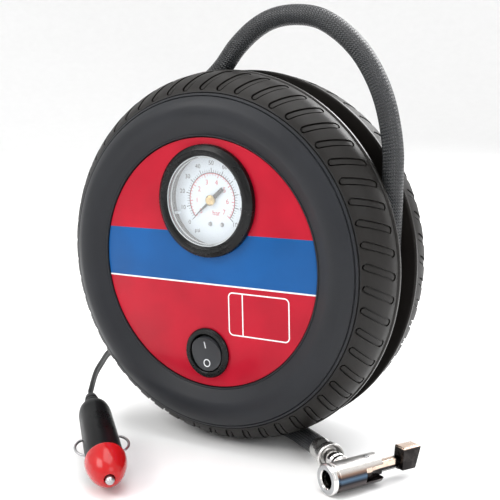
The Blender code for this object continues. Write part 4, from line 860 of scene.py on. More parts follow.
def hose_points(step):
    """Centre line of the air hose: up in the groove, over in an arch, round it and out to the chuck."""
    corner, along = outlet_start()
    bed = 0.0798
    route = [corner + along * 0.0105]
    route += [wheel_point(bed, angle) for angle in (-21, -11, -1)]
    arch = [
        (0.0799, 0.0100),
        (0.0806, 0.0250),
        (0.0810, 0.0394),
        (0.0812, 0.0495),
        (0.0800, 0.0607),
        (0.0771, 0.0732),
        (0.0724, 0.0843),
        (0.0656, 0.0948),
        (0.0563, 0.1038),
        (0.0453, 0.1103),
        (0.0334, 0.1125),
        (0.0216, 0.1115),
        (0.0112, 0.1071),
        (0.0012, 0.0994),
        (-0.0072, 0.0902),
        (-0.0165, 0.0829),
        (-0.0275, 0.0773),
        (-0.0395, 0.0712),
    ]
    route += [Vector((x, 0, AXLE + z)) for x, z in arch]
    route += [wheel_point(bed, angle) for angle in range(128, 272, 12)]
    route += [
        Vector((0.0125, 0, 0.0087)),
        Vector((0.0210, -0.0004, 0.0068)),
        Vector((0.0285, -0.0017, 0.0054)),
        Vector((0.0345, -0.0042, 0.0049)),
        Vector((0.0390, -0.0073, 0.0050)),
        Vector((0.0442, -0.0118, 0.0058)),
        ferrule_start() + NECK_WAY * 0.0042,
    ]
    last = ferrule_start() + NECK_WAY * 0.0003
    return [corner + along * 0.0063, *smooth_line(route, step), last]


def coil_points(cords):
    """The put-away cord: neat turns in layers, from the top layer down, spiralling in and out."""
    turns = 15.25
    centre = COIL_CENTRE.copy()
    lift = 0.0012 + cords.flex_width / 2
    per_layer = turns / cords.coil_layers
    inner = cords.coil_radius - cords.coil_pitch * per_layer / 2
    per_turn = 40
    points = []
    for index in range(round(turns * per_turn) + 1):
        turn = index / per_turn
        layer = min(int(turn / per_layer), cords.coil_layers - 1)
        share = turn / per_layer - layer
        radius = inner + cords.coil_pitch * per_layer * (1 - share if layer % 2 == 0 else share)
        nearest = round(turn / per_layer)
        offset = (turn - nearest * per_layer) / 0.25
        level = float(layer)
        if 0 < nearest < cords.coil_layers and abs(offset) < 1:
            level = nearest - 0.5 + 0.5 * math.sin(math.pi / 2 * offset)
        height = lift + cords.coil_pitch * (cords.coil_layers - 1 - level)
        angle = math.radians(20) + math.tau * turn
        points.append(centre + Vector((radius * math.cos(angle), radius * math.sin(angle), height)))
    return points


def flex_points(cords, step):
    """Centre line of the power cord, and the number of points before and in its coil."""
    coil = coil_points(cords)
    start_way = (coil[1] - coil[0]).normalized()
    end_way = (coil[-1] - coil[-2]).normalized()
    gland = Vector((GLAND_X, 0.0503, GLAND_Z))
    inner = [
        gland + Vector((0, 0.0057, -0.0006)),
        gland + Vector((-0.0012, 0.0152, -0.0085)),
        gland + Vector((-0.0050, 0.0227, -0.0185)),
        coil[0] - start_way * 0.0100 + Vector((0, 0, 0.0012)),
        coil[0] - start_way * 0.0030,
    ]
    outer = [
        coil[-1] + end_way * 0.0040,
        coil[-1] + end_way * 0.0200 - Vector((0, 0.0020, 0)),
        Vector((-0.1060, 0.0870, 0.0030)),
        Vector((-0.1190, 0.0750, 0.0044)),
        Vector((-0.1170, 0.0600, 0.0092)),
        Vector((-0.1110, 0.0440, 0.0160)),
        Vector((-0.1035, 0.0260, 0.0215)),
        Vector((-0.0955, 0.0090, 0.0240)),
        Vector((-0.0855, -0.0080, 0.0244)),
        Vector((-0.0752, -0.0250, 0.0240)),
        PLUG_TAIL + PLUG_WAY * 0.0040,
    ]
    first = apart([gland, *smooth_line(inner, step)], step * 0.4)
    last = apart([*smooth_line(outer, step), PLUG_TAIL + PLUG_WAY * 0.0003], step * 0.4)
    return [*first, *coil, *last], len(first), len(coil)


def twin_section(width):
    """Section of twin flex: two round cores side by side."""
    core = width / 4
    sides = []
    for side in (1, -1):
        for index in range(13):
            angle = math.radians(-150 + 25 * index)
            spot = Vector((core + core * math.cos(angle), core * math.sin(angle)))
            sides.append(spot * side)
    return sides


# The stage.


class STAGE_OT_studio(bpy.types.Operator):
    """Set out the floor, the soft studio lights and the camera"""

    bl_idname = "inflator.studio"
    bl_label = "Studio"
    bl_options = {"REGISTER", "UNDO"}

    def execute(self, context):
        self.floor()
        self.lights(context)
        self.camera(context)
        return {"FINISHED"}

    def floor(self):
        """A pale floor that curves up into a wall all round."""
        outline = rounded([(0, 0), (3.2, 0, 1.4), (3.2, 2.4), (3.24, 2.4), (3.24, -0.04, 1.4), (0, -0.04)])
        sweep = turned("studio_floor", outline, Matrix(), 96)
        choose(sweep)
        bpy.ops.object.shade_smooth_by_angle(angle=math.radians(35))
        sweep.data.materials.append(look("floor"))

    def lights(self, context):
        lamps = (
            ("key", (-0.75, -1.05, 1.25), 0.9, 14, (1.0, 0.99, 0.97)),
            ("fill", (1.25, -0.55, 0.85), 0.8, 4, (0.96, 0.98, 1.0)),
            ("top", (0.10, 0.10, 1.5), 1.2, 14, (1.0, 1.0, 1.0)),
            ("rim", (0.30, 1.30, 0.95), 0.9, 20, (1.0, 1.0, 1.0)),
        )
        for name, place, width, power, tint in lamps:
            data = bpy.data.lights.new(name, "AREA")
            data.shape = "SQUARE"
            data.size = width
            data.energy = power
            data.color = tint
            lamp = bpy.data.objects.new(name, data)
            context.scene.collection.objects.link(lamp)
            aim = Vector((0, 0, AXLE)) - Vector(place)
            lamp.matrix_world = aimed(place, -aim, (1, 0.3, 0))
        world = bpy.data.worlds.new("studio")
        context.scene.world = world
        world.use_nodes = True
        air = world.node_tree.nodes["Background"]
        air.inputs["Color"].default_value = (1.0, 1.0, 1.0, 1)
        air.inputs["Strength"].default_value = 0.82

    def camera(self, context):
        data = bpy.data.cameras.new("camera")
        data.sensor_fit = "HORIZONTAL"
        data.sensor_width = 36
        data.lens = 67.2
        camera = bpy.data.objects.new("camera", data)
        context.scene.collection.objects.link(camera)
        azimuth, elevation, roll = (math.radians(angle) for angle in (32.4, 9.58, -1.22))
        back = Vector(
            (
                math.sin(azimuth) * math.cos(elevation),
                -math.cos(azimuth) * math.cos(elevation),
                math.sin(elevation),
            )
        )
        right = Vector((math.cos(azimuth), math.sin(azimuth), 0))
        up = back.cross(right)
        across = right * math.cos(roll) + up * math.sin(roll)
        upright = up * math.cos(roll) - right * math.sin(roll)
        turn = Matrix((across, upright, back)).transposed().to_4x4()
        camera.matrix_world = Matrix.Translation((0.2463, -0.3784, 0.1673)) @ turn
        context.scene.camera = camera
        context.scene.view_settings.view_transform = "Standard"


# The air hose with its chuck.


def barrel_place(along=0.0):
    """On the barrel's axis: Z runs back from the mouth, X out of the lever's side and Y up."""
    return aimed(MOUTH + BARREL_WAY * along, BARREL_WAY, BARREL_SIDE)


def lever_pivot():
    return MOUTH + BARREL_WAY * LEVER_PIVOT + BARREL_SIDE * LEVER_PIVOT_SIDE


class HOSE_OT_chuck(bpy.types.Operator):
    """Model the chuck: barrel, neck, ferrule, lever and pin"""

    bl_idname = "inflator.chuck"
    bl_label = "Chuck"
    bl_options = {"REGISTER", "UNDO"}

    def execute(self, context):
        self.barrel()
        self.neck()
        self.lever()
        return {"FINISHED"}

    def barrel(self):
        place = barrel_place()
        skin, ring = 0.0065, 0.0068
        outline = rounded(
            [
                (0, 0.0172),
                (0.0038, 0.0172, 0.0004),
                (0.0038, 0.0008, 0.0003),
                (0.0043, 0.0001, 0.0003),
                (0.0061, 0.0000, 0.0005),
                (ring, 0.0009, 0.0006),
                (ring, 0.0022, 0.0005),
                (skin - 0.0010, 0.0027, 0.0002),
                (skin - 0.0010, 0.0033, 0.0002),
                (skin, 0.0038, 0.0004),
                (skin, 0.0261, 0.0006),
                (skin - 0.0010, 0.0269, 0.0004),
                (0, 0.0270),
            ]
        )
        barrel = turned("chuck_barrel", outline, place, 96)
        half = 0.0056 / 2 + 0.0003
        lever_way = [(-0.0024, -half), (0.0110, -half), (0.0110, half), (-0.0024, half)]
        cut(barrel, slab("lever_way", lever_way, 0.0170, 0.0300, place))
        pin = aimed(lever_pivot(), (0, 0, 1))
        cut(barrel, peg("pin_way", 0.0013, -0.010, 0.010, pin))
        # A flat on the top, where the head of the lever's pin shows.
        flat = barrel_place(LEVER_PIVOT) @ Matrix.Translation((LEVER_PIVOT_SIDE, 0, 0))
        pin_seat = [(-0.0019, 0.0054), (0.0019, 0.0054), (0.0019, 0.0080), (-0.0019, 0.0080)]
        cut(barrel, slab("pin_flat", pin_seat, -0.0022, 0.0022, flat))
        neck = aimed(MOUTH + BARREL_WAY * NECK_AT, NECK_WAY, BARREL_WAY)
        cut(barrel, peg("neck_way", 0.0033, 0.0054, 0.0120, neck))
        # The barrel's finish carries painted reflections by height.
        settled(barrel, look("painted_reflection_chrome"), "case", "chuck_body", slot="chrome")

    def neck(self):
        place = aimed(MOUTH + BARREL_WAY * NECK_AT, NECK_WAY, BARREL_WAY)
        outline = rounded(
            [
                (0, 0.0058),
                (0.0029, 0.0058, 0.0002),
                (0.0029, 0.0082, 0.0003),
                (0.0044, 0.0088, 0.0004),
                (0.0044, 0.0106, 0.0004),
                (0.0036, 0.0112, 0.0003),
                (0.0036, 0.0120, 0.0003),
                (0.0042, 0.0128, 0.0004),
                (0.0042, 0.0168, 0.0004),
                (0.0035, 0.0176, 0.0003),
                (0.0035, 0.0217, 0.0002),
                (0, 0.0217),
            ]
        )
        settled(turned("neck_swivel", outline, place), look("chrome"), "case", "chuck_neck", slot="chrome")
        outline = rounded(
            [
                (0, NECK_END),
                (0.0044, NECK_END, 0.0004),
                (0.0056, NECK_END - 0.0030, 0.0003),
                (0.0062, NECK_END - 0.0033, 0.0003),
                (0.0065, NECK_END - 0.0024, 0.0006),
                (0.0062, NECK_END + 0.0006, 0.0010),
                (0.0051, NECK_END + 0.0026, 0.0010),
                (0.0050, NECK_END + 0.0044, 0.0006),
                (0.0052, NECK_END + 0.0093, 0.0005),
                (0.0047, NECK_END + 0.0100, 0.0003),
                (0, NECK_END + 0.0100),
            ]
        )
        sleeve = turned("ferrule_sleeve", outline, place)
        settled(sleeve, look("satin_chrome"), "case", "hose_ferrule", slot="chrome")

    def lever(self):
        pin = aimed(lever_pivot(), (0, 0, 1))
        outline = rounded([(0, 0.0068), (0.0010, 0.0068, 0.0003), (0.0010, -0.0062), (0, -0.0062)])
        settled(turned("lever_pin", outline, pin, 32), look("steel"), "case", "chuck_lever_pin", slot="steel")
        # In this placement X runs out of the lever's side and Y back along the barrel.
        place = aimed(lever_pivot(), (0, 0, 1), BARREL_SIDE)
        turns = map(math.radians, range(200, 442, 12))
        cam = [Vector((0.0030 * math.cos(turn), 0.0030 * math.sin(turn))) for turn in turns]
        corners = ((0.0016, 0.0062), (0.0016, 0.0185), (-0.0014, 0.0185), (-0.0014, 0.0040))
        arm = [*cam[1:-3], *(Vector(corner) for corner in corners)]
        lever = slab("thumb_lever", arm, -0.0028, 0.0028, place, 0.0003, 2)
        # The arm's upper edge slopes outwards.
        slope = [(0.0032, -0.0002), (0.0032, 0.0040), (-0.0002, 0.0040), (-0.0002, 0.0028)]
        tip = aimed(lever_pivot(), BARREL_WAY, BARREL_SIDE)
        cut(lever, slab("arm_slope", slope, 0.0072, 0.0163, tip))
        # The thumb paddle stands across the arm's end and leans back at its top.
        paddle = [(0.0160, -0.0026, 0.0006), (0.0235, -0.0028, 0.0008)]
        paddle += [(0.0268, 0.0070, 0.0008), (0.0172, 0.0073, 0.0006)]
        paddle_place = aimed(lever_pivot(), BARREL_SIDE, BARREL_WAY)
        paddle = rounded(paddle, closed=True)
        welded(lever, slab("thumb_paddle", paddle, -0.0022, 0.0044, paddle_place, 0.0004, 2))
        cut(lever, peg("pin_eye", 0.0013, -0.01, 0.01, place, 32))
        # The lever's finish carries a painted reflection on top and painted shade on its flanks.
        settled(lever, look("lever_painted_light_chrome"), "lever", "chuck_lever", slot="chrome")


class HOSE_OT_air_hose(bpy.types.Operator):
    """Model the braided air hose on its way round the wheel"""

    bl_idname = "inflator.air_hose"
    bl_label = "Air hose"
    bl_options = {"REGISTER", "UNDO"}

    def execute(self, context):
        cords = context.scene.inflator_cords
        points = hose_points(0.0016)
        section = disc(cords.hose_radius, cords.hose_sides)
        hose = swept("air_hose_braid", points, section)
        settled(hose, look("braid"), "case", "air_hose", slot="braid", sharp=60)
        return {"FINISHED"}


# The power cord with its plug.


def plug_place():
    """On the plug's axis: Z runs back from its nose and X out of its left side."""
    across = PLUG_WAY.cross(Vector((0, 0, 1))).normalized()
    return aimed(PLUG_TIP, PLUG_WAY, across)


class CORD_OT_plug(bpy.types.Operator):
    """Model the lighter plug: nose, shell, tip, side contacts and strain relief"""

    bl_idname = "inflator.plug"
    bl_label = "Lighter plug"
    bl_options = {"REGISTER", "UNDO"}

    def execute(self, context):
        place = plug_place()
        self.nose(place)
        self.shell(place)
        self.small_pieces(place)
        return {"FINISHED"}

    def nose(self, place):
        nose = ((0.0032, 0.0003), (0.0047, 0.0014), (0.0062, 0.0033), (0.0074, 0.0056))
        nose += ((0.0083, 0.0082), (0.0089, 0.0108), (0.0092, 0.0138))
        dome = smooth_line([Vector(spot) for spot in nose], 0.0006)
        outline = [
            Vector((0.0022, 0.0045)),
            Vector((0.0022, 0.0006)),
            Vector((0.0025, 0.0001)),
            *dome,
            *rounded([(0.0092, 0.0142), (0.0091, 0.0150, 0.0004), (0.0030, 0.0150)])[1:],
            Vector((0.0029, 0.0150)),
            Vector((0.0029, 0.0045)),
        ]
        nose = turned("plug_cap", outline, place, 96, closed=True)
        settled(nose, look("plug_red"), "case", "plug_nose", slot="plug_red")

    def shell(self, place):
        outline = rounded(
            [
                (0.0029, 0.0445),
                (0.0029, 0.0153),
                (0.0083, 0.0153, 0.0004),
                (0.0084, 0.0165, 0.0010),
                (0.0076, 0.0560, 0.0200),
                (0.0068, 0.0608, 0.0040),
                (0.0040, 0.0620, 0.0016),
                (0, 0.0620),
            ]
        )
        shell = turned("plug_shell", [Vector((0, 0.0445)), *outline], place, 96)
        for side in (-1, 1):
            low, high = sorted((side * 0.0038, side * 0.0120))
            way = [(low, -0.0009), (high, -0.0009), (high, 0.0009), (low, 0.0009)]
            cut(shell, slab("contact_way", way, 0.0194, 0.0356, place))
        settled(shell, look("plug_black"), "case", "plug_body", slot="black_plastic")

    def small_pieces(self, place):
        reach = (PLUG_TAIL - PLUG_TIP).length
        relief = rounded(
            [
                (0, 0.0623),
                (0.0043, 0.0623, 0.0003),
                (0.0043, 0.0637, 0.0004),
                (0.0035, 0.0645, 0.0003),
                (0.0035, 0.0655, 0.0003),
                (0.0039, 0.0663, 0.0003),
                (0.0038, 0.0675, 0.0003),
                (0.0031, 0.0683, 0.0003),
                (0.0031, 0.0692, 0.0003),
                (0.0034, 0.0700, 0.0003),
                (0.0027, reach - 0.0002, 0.0003),
                (0, reach),
            ]
        )
        settled(turned("plug_boot", relief, place, 48), look("rubber"), "case", "plug_relief", slot="rubber")
        tip = rounded(
            [
                (0, -0.0025),
                (0.0012, -0.0024, 0.0004),
                (0.0019, -0.0013, 0.0006),
                (0.0019, 0.0048, 0.0001),
                (0.0026, 0.0048, 0.0002),
                (0.0026, 0.0060, 0.0002),
                (0, 0.0060),
            ]
        )
        settled(turned("plug_pin", tip, place, 48), look("steel"), "tip", "plug_tip", slot="steel")
        for name, side in (("left", -1), ("right", 1)):
            bow = ((0.0062, 0.0207), (0.0092, 0.0215), (0.0113, 0.0243), (0.0119, 0.0275))
            bow += ((0.0113, 0.0307), (0.0092, 0.0335), (0.0062, 0.0343))
            points = [place @ Vector((side * x, 0, along)) for x, along in bow]
            wire = swept(f"contact_wire_{name}", smooth_line(points, 0.0006), disc(0.00060, 12))
            settled(wire, look("steel"), f"contact_{name}", f"plug_contact_{name}", slot="steel", sharp=60)


class CORD_OT_power_cord(bpy.types.Operator):
    """Model the twin power cord with its gland and the tie round its coil"""

    bl_idname = "inflator.power_cord"
    bl_label = "Power cord"
    bl_options = {"REGISTER", "UNDO"}

    def execute(self, context):
        cords = context.scene.inflator_cords
        self.gland()
        self.tie(cords)
        points, before, coiled = flex_points(cords, 0.0022)
        points = apart(points, 0.0008)
        leans = self.leans(points)
        flex = swept("power_flex", points, twin_section(cords.flex_width), leans)
        settled(
            flex,
            look("rubber"),
            "case",
            "power_cord_inner",
            "power_cord_coil",
            "power_cord_outer",
            slot="rubber",
            sharp=60,
        )
        return {"FINISHED"}

    def leans(self, points):
        """The flex lies aslant in the coil, and stands on its edge on the way to the plug."""
        total = sum((end - start).length for start, end in zip(points, points[1:]))
        leans = []
        gone = 0.0
        for index, point in enumerate(points):
            if index:
                gone += (point - points[index - 1]).length
            left = total - gone
            free = 1 - min(1.0, max(0.0, (left - 0.16) / 0.05))
            free = free * free * (3 - 2 * free)
            waver = math.radians(58) + math.radians(14) * math.sin(gone * 21)
            leans.append(waver * (1 - free) + math.radians(90) * free)
        return leans

    def gland(self):
        place = aimed((GLAND_X, 0, GLAND_Z), (0, 1, 0))
        ribs = []
        for index in range(4):
            along = 0.0325 + 0.0036 * index
            wide = 0.0052 - 0.00055 * index
            narrow = wide - 0.0013
            ribs += [(wide, along, 0.0003), (wide, along + 0.0020, 0.0003)]
            ribs += [(narrow, along + 0.0023, 0.0003), (narrow, along + 0.0033, 0.0003)]
        outline = rounded(
            [
                (0, 0.0233),
                (0.0040, 0.0233, 0.0003),
                (0.0040, 0.0280),
                (0.0060, 0.0280, 0.0003),
                (0.0060, 0.0302, 0.0006),
                (0.0048, 0.0312, 0.0006),
                (0.0040, 0.0321, 0.0003),
                *ribs,
                (0.0030, 0.0470, 0.0003),
                (0.0027, 0.0500, 0.0003),
                (0, 0.0500),
            ]
        )
        settled(turned("cord_boot", outline, place, 64), look("rubber"), "case", "cord_gland", slot="rubber")

    def tie(self, cords):
        per_layer = 15.25 / cords.coil_layers
        spread = cords.coil_pitch * per_layer / 2 + 0.0021 + 0.0008
        low = 0.0001
        high = 0.0012 + cords.coil_pitch * (cords.coil_layers - 1) + cords.flex_width + 0.0012
        spin = Matrix.Rotation(math.radians(250), 4, "Z")
        outward = spin @ Vector((1, 0, 0))
        centre = COIL_CENTRE + outward * cords.coil_radius
        place = aimed(centre, spin @ Vector((0, -1, 0)), outward)
        middle = (low + high) / 2
        outer = box(2 * spread, high - low, 0.0030, 0, middle)
        inner = box(2 * spread - 0.0016, high - low - 0.0016, 0.0022, 0, middle)
        band = slab("coil_tie", outer, -0.0020, 0.0020, place)
        cut(band, slab("tie_inside", inner, -0.0030, 0.0030, place))
        finished(band, "BEVEL", width=0.0002, segments=2, limit_method="ANGLE", angle_limit=math.radians(50))
        settled(band, look("black_plastic"), "case", "cord_tie", slot="black_plastic")


# The tyre halves.


class TYRE_OT_halves(bpy.types.Operator):
    """Model the two moulded tyre halves with their lips, tread slots and seams"""

    bl_idname = "inflator.tyre_halves"
    bl_label = "Tyre halves"
    bl_options = {"REGISTER", "UNDO"}

    def execute(self, context):
        tyre = context.scene.inflator_tyre
        front = self.half(tyre, "front_tyre", aimed((0, 0, AXLE), (0, -1, 0)))
        for place, radius in ((on_face(GAUGE_X, GAUGE_Z), 0.0229), (on_face(0, SWITCH_Z), 0.0107)):
            cut(front, peg("hole", radius, -0.0060, 0.0005, place, 96), "MANIFOLD")
        settled(front, look("tyre_black"), "case", "front_housing", slot="tyre_black")
        rear = self.half(tyre, "rear_tyre", aimed((0, 0, AXLE), (0, 1, 0)), True)
        for index in range(5):
            vent = aimed((-0.0220, 0.0265, AXLE - 0.0225 + 0.0052 * (index - 2)), (0, 1, 0), (1, 0, 0))
            cut(rear, slab("vent", box(0.0240, 0.0026, 0.0012), -0.0040, 0.0040, vent), "MANIFOLD")
        gland = aimed((GLAND_X, 0, GLAND_Z), (0, 1, 0))
        cut(rear, peg("gland_way", 0.0043, 0.0200, 0.0300, gland), "MANIFOLD")
        for angle in SCREW_ANGLES:
            way = aimed(wheel_point(SCREW_RING, angle), (0, 1, 0))
            cut(rear, peg("screw_way", 0.0019, 0.0200, 0.0300, way), "MANIFOLD")
        settled(rear, look("duller_tyre_black"), "case", "rear_housing", slot="tyre_black")
        return {"FINISHED"}

    def tread_line(self, fuller):
        """The tread, from behind the lip over the shoulder to the seam at the foot of the sidewall."""
        if fuller:
            spots = ((0.0884, 0.0112), (0.0882, 0.0160), (0.0876, 0.0203), (0.0864, 0.0243))
            spots += ((0.0842, 0.0277), (0.0817, 0.0299), (0.0791, 0.0314))
        else:
            spots = ((0.0884, 0.0112), (0.0882, 0.0146), (0.0876, 0.0172), (0.0862, 0.0206))
            spots += ((0.0841, 0.0241), (0.0816, 0.0270), (0.0791, 0.0289))
        return smooth_line([Vector(spot) for spot in spots], 0.0007)

    def outside(self, tyre, tread, lift):
        """Section of the skin, from the groove floor over the lip, the tread and the sidewall to the wall."""
        lip = AXLE
        groove = [
            (tyre.groove_floor, 0.00015),
            (tyre.groove_floor, tyre.groove_half, 0.0010),
            (lip, tyre.groove_half, 0.0010),
            (lip, tyre.groove_half + 0.0023, 0.0009),
            (0.0879, tyre.groove_half + 0.0029, 0.0003),
            tuple(tread[0]),
        ]
        # Two fine grooves with a ridge between them, as steps along the skin and out of it.
        foot = tread[-1]
        along = Vector((-0.79, 0.61)).normalized()
        out = Vector((0.61, 0.79)).normalized()
        steps = ((0, 0), (0.1, 0), (0.3, -0.6), (0.65, -0.6), (0.8, 0.1), (1.9, 0.1))
        steps += ((2.05, -0.6), (2.4, -0.6), (2.6, 0), (3.0, 0))
        seam = [(*(foot + along * go * 0.001 + out * rise * 0.001), 0.0002) for go, rise in steps]
        top, fade = 0.0334 + lift, 0.0314 + lift * 0.7
        spots = (seam[-1][:2], (0.0750, top - 0.0015), (0.0726, top - 0.0004), (0.0694, top))
        spots += ((0.0662, top - 0.0006), (0.0634, fade), (0.0610, 0.0301 + lift * 0.2), (0.0601, 0.0296))
        bulge = smooth_line([Vector(spot) for spot in spots], 0.0007)
        rim = [
            (0.0601, 0.0296),
            (0.0599, 0.0294, 0.0001),
            (0.0597, 0.0297, 0.0001),
            (0.0593, 0.0298, 0.0002),
            (tyre.seat, 0.0295, 0.0002),
            (tyre.seat, tyre.wall_face, 0.0002),
            (0, tyre.wall_face),
        ]
        return [*rounded(groove)[:-1], *tread[:-1], *rounded(seam)[:-1], *bulge[:-1], *rounded(rim)]

    def half(self, tyre, name, place, fuller=False):
        side = tyre.groove_half + tyre.wall
        corner = tyre.groove_floor - 0.0022
        inside = [(0, tyre.wall_face - tyre.wall), (0.0612, 0.0253), (0.0680, 0.0300)]
        inside += [(0.0740, 0.0292), (0.0800, 0.0240), (0.0846, 0.0170)]
        inside += [(0.0862, side), (corner, side), (corner, 0.00015)]
        tread = self.tread_line(fuller)
        outline = [*map(Vector, inside), *self.outside(tyre, tread, 0.0025 if fuller else 0.0)]
        half = turned(name, outline, place, tyre.sides)
        for slots in self.slots(tyre, place, tread):
            cut(half, slots, "MANIFOLD")
        return half

    def slots(self, tyre, place, tread):
        """The round-ended tread slots: a deeper groove, deepest at the seam, round a shallow tray."""
        last = len(tread) - 1
        lowest = shifted(tread, tyre.slot_depth * 1.7)
        shares = [0.28 + 0.72 * index / last for index in range(len(tread))]
        deep = [skin.lerp(low, share) for skin, low, share in zip(tread, lowest, shares)]
        shallow = shifted(tread, tyre.slot_depth * 0.35)
        above = shifted(tread, -0.0040)
        front = tread[-1] + Vector((0.0020, -0.0018))
        back = Vector((0.0887, 0.0140))
        reach = (back - front).length
        outward = Vector((front.y - back.y, back.x - front.x)).normalized()
        way = back - front
        local = aimed((front.x, 0, front.y), (outward.x, 0, outward.y), (way.x, 0, way.y))
        local = local @ Matrix.Rotation(-tyre.slot_slant, 4, "Z")
        start = place @ Matrix.Rotation(math.pi / tyre.slots, 4, "Z") @ local

        def stadium(half, length):
            far = length + half
            corners = [(-half, -half, half), (far, -half, half), (far, half, half), (-half, half, half)]
            return rounded(corners, closed=True, step=15)

        def spread_round(first, floor):
            cutters = [first]
            for index in range(1, tyre.slots):
                turn = place @ Matrix.Rotation(math.tau * index / tyre.slots, 4, "Z") @ place.inverted()
                cutters.append(copied(first, turn))
            ring = turned("slot_ring", [*floor, *reversed(above)], place, tyre.sides, closed=True)
            return combined(gathered("slot_prisms", cutters), ring, "INTERSECT", "MANIFOLD")

        half = tyre.slot_width / 2
        tray = slab("slot_tray", stadium(half - 0.0002, reach), -0.0060, 0.0060, start)
        groove = slab("slot_groove", stadium(half, reach), -0.0058, 0.0058, start)
        cut(groove, slab("slot_island", stadium(half - 0.0008, reach), -0.0070, 0.0070, start))
        return spread_round(groove, deep), spread_round(tray, shallow)


# What the dial face carries.


class FACE_OT_plate(bpy.types.Operator):
    """Model the printed face plate"""

    bl_idname = "inflator.plate"
    bl_label = "Face plate"
    bl_options = {"REGISTER", "UNDO"}

    def execute(self, context):
        plate = slab("print_plate", disc(PLATE_RADIUS, 192), -0.0010, 0.0, on_face(0, AXLE), 0.00018, 2)
        cut(plate, peg("gauge_way", 0.0229, -0.003, 0.003, on_face(GAUGE_X, GAUGE_Z), 96))
        cut(plate, peg("switch_way", 0.0107, -0.003, 0.003, on_face(0, SWITCH_Z), 64))
        settled(plate, look("plate_red"), "case", "face_plate", slot="plate_red")
        return {"FINISHED"}


class FACE_OT_gauge(bpy.types.Operator):
    """Model the pressure gauge: bezel, cup, printed dial, hub and zero tab"""

    bl_idname = "inflator.gauge"
    bl_label = "Pressure gauge"
    bl_options = {"REGISTER", "UNDO"}

    def execute(self, context):
        place = on_face(GAUGE_X, GAUGE_Z)
        self.housing(place)
        self.dial(place)
        self.scales(context.scene.inflator_face)
        self.hub(place)
        self.pointer(place, context.scene.inflator_face)
        return {"FINISHED"}

    def housing(self, place):
        outline = rounded(
            [
                (0.0262, 0.0003, 0.0002),
                (0.0260, 0.0027, 0.0012),
                (0.0236, 0.0044, 0.0014),
                (0.0219, 0.0043, 0.0005),
                (0.0213, 0.0037, 0.0003),
                (0.0209, 0.0036, 0.0002),
                (0.0209, 0.0028, 0.0001),
                (0.0229, 0.0028),
                (0.0229, 0.0003),
            ],
            closed=True,
        )
        bezel = turned("bezel_ring", outline, place, 128, closed=True)
        settled(bezel, look("black_plastic"), "case", "gauge_bezel", slot="black_plastic")
        cup = rounded(
            [
                (0.0226, 0.0012, 0.0002),
                (0.0226, -0.0130, 0.0010),
                (0.0043, -0.0130),
                (0.0043, -0.0116),
                (0.0212, -0.0116, 0.0006),
                (0.0212, 0.0012, 0.0002),
            ],
            closed=True,
        )
        cup = turned("gauge_cup", cup, place, 128, closed=True)
        settled(cup, look("clear_plastic"), "case", "gauge_case", slot="clear_plastic")
        outline = rounded([(0, 0.0015), (0.0223, 0.0015, 0.0002), (0.0223, 0.0025, 0.0002), (0, 0.0025)])
        settled(turned("gauge_glass", outline, place, 128), look("glass"), "case", "gauge_lens", slot="glass")
        # Thin light grey rings at the two lens edges: a painted glint that stands in for the light that the clear
        # edges catch.
        beads = []
        for radius, height in ((0.02065, 0.00275), (0.01995, 0.00105)):
            near, far = radius - 0.0002, radius + 0.0002
            low, high = height - 0.0002, height + 0.0002
            bead = [(near, low), (far, low, 0.0001), (far, high, 0.0001), (near, high, 0.0001)]
            bead = rounded(bead, closed=True)
            beads.append(turned("lens_glint_bead", bead, place, 128, closed=True))
        settled(gathered("lens_glint_beads", beads), look("lens_edge_painted_glint"), "case", slot="clear_plastic")

    def dial(self, place):
        outline = [(0.0209, -0.0038, 0.0001), (0.0209, -0.0044, 0.0001), (0.0019, -0.0044), (0.0019, -0.0038)]
        card = turned("dial_card", rounded(outline, closed=True), place, 128, closed=True)
        settled(card, look("dial_white"), "case", "gauge_dial", slot="dial_white")
        tab = slab("zero_tab", box(0.0024, 0.0012, 0.0002, -0.0193, -0.0066), -0.0037, -0.0019, place)
        settled(tab, look("dial_white"), "case", slot="dial_white")

    def scales(self, face):
        """Scales of tick marks and numbers: black outside from 0 to 100, red inside from 0 to 7."""
        top = -(DIAL_FACE - PLATE_FACE) + 0.00004
        place = on_face(GAUGE_X, GAUGE_Z) @ Matrix.Translation((0, 0, top))
        black = self.scale("black", face, place, 100, 2, 10, 0.0128, 0.0140, 0.0149, 10, 0.0171, 0.0030)
        spot = place @ Matrix.Translation((-0.0088, -0.0146, 0))
        black.append(lettering("unit", "psi", 0.0028, spot, 0.00004))
        red = self.scale("red", face, place, 70, 2, 10, 0.0125, 0.0114, 0.0108, 10, 0.0085, 0.0034)
        spot = place @ Matrix.Translation((0.0022, -0.0060, 0))
        red.append(lettering("unit", "bar", 0.0034, spot, 0.00004))
        black = gathered("dial_black_print", black)
        red = gathered("dial_red_print", red)
        settled(black, look("print_black"), "case", slot="black_plastic")
        settled(red, look("print_red"), "case", slot="plug_red")

    def scale(self, name, face, place, full, step, major, base, minor_end, major_end, number_step, number_at, height):
        """Tick marks from the base radius, a line along the base, and numbers."""
        marks = []
        for value in range(0, full + 1, step):
            angle = face.needle_rest - face.needle_sweep * value / full
            end = major_end if value % major == 0 else minor_end
            wide = 0.00036 if value % major == 0 else 0.00024
            tick = Matrix.Rotation(angle, 4, "Z")
            low, high = sorted((base, end))
            outline = [(low, -wide / 2), (high, -wide / 2), (high, wide / 2), (low, wide / 2)]
            marks.append(slab(f"{name}_tick", outline, -0.00002, 0.00002, place @ tick))
            if value % number_step == 0:
                across, up = number_at * math.cos(angle), number_at * math.sin(angle)
                spot = place @ Matrix.Translation((across, up, 0))
                number = str(value if full == 100 else value // 10)
                marks.append(lettering(f"{name}_number", number, height, spot, 0.00004))
        ends = [face.needle_rest - face.needle_sweep * share / 60 for share in range(61)]
        rim = [Vector((base * math.cos(angle), base * math.sin(angle))) for angle in ends]
        inner = [spot * (1 - 0.00028 / base) for spot in reversed(rim)]
        marks.append(slab(f"{name}_arc", [*rim, *inner], -0.00002, 0.00002, place))
        return marks

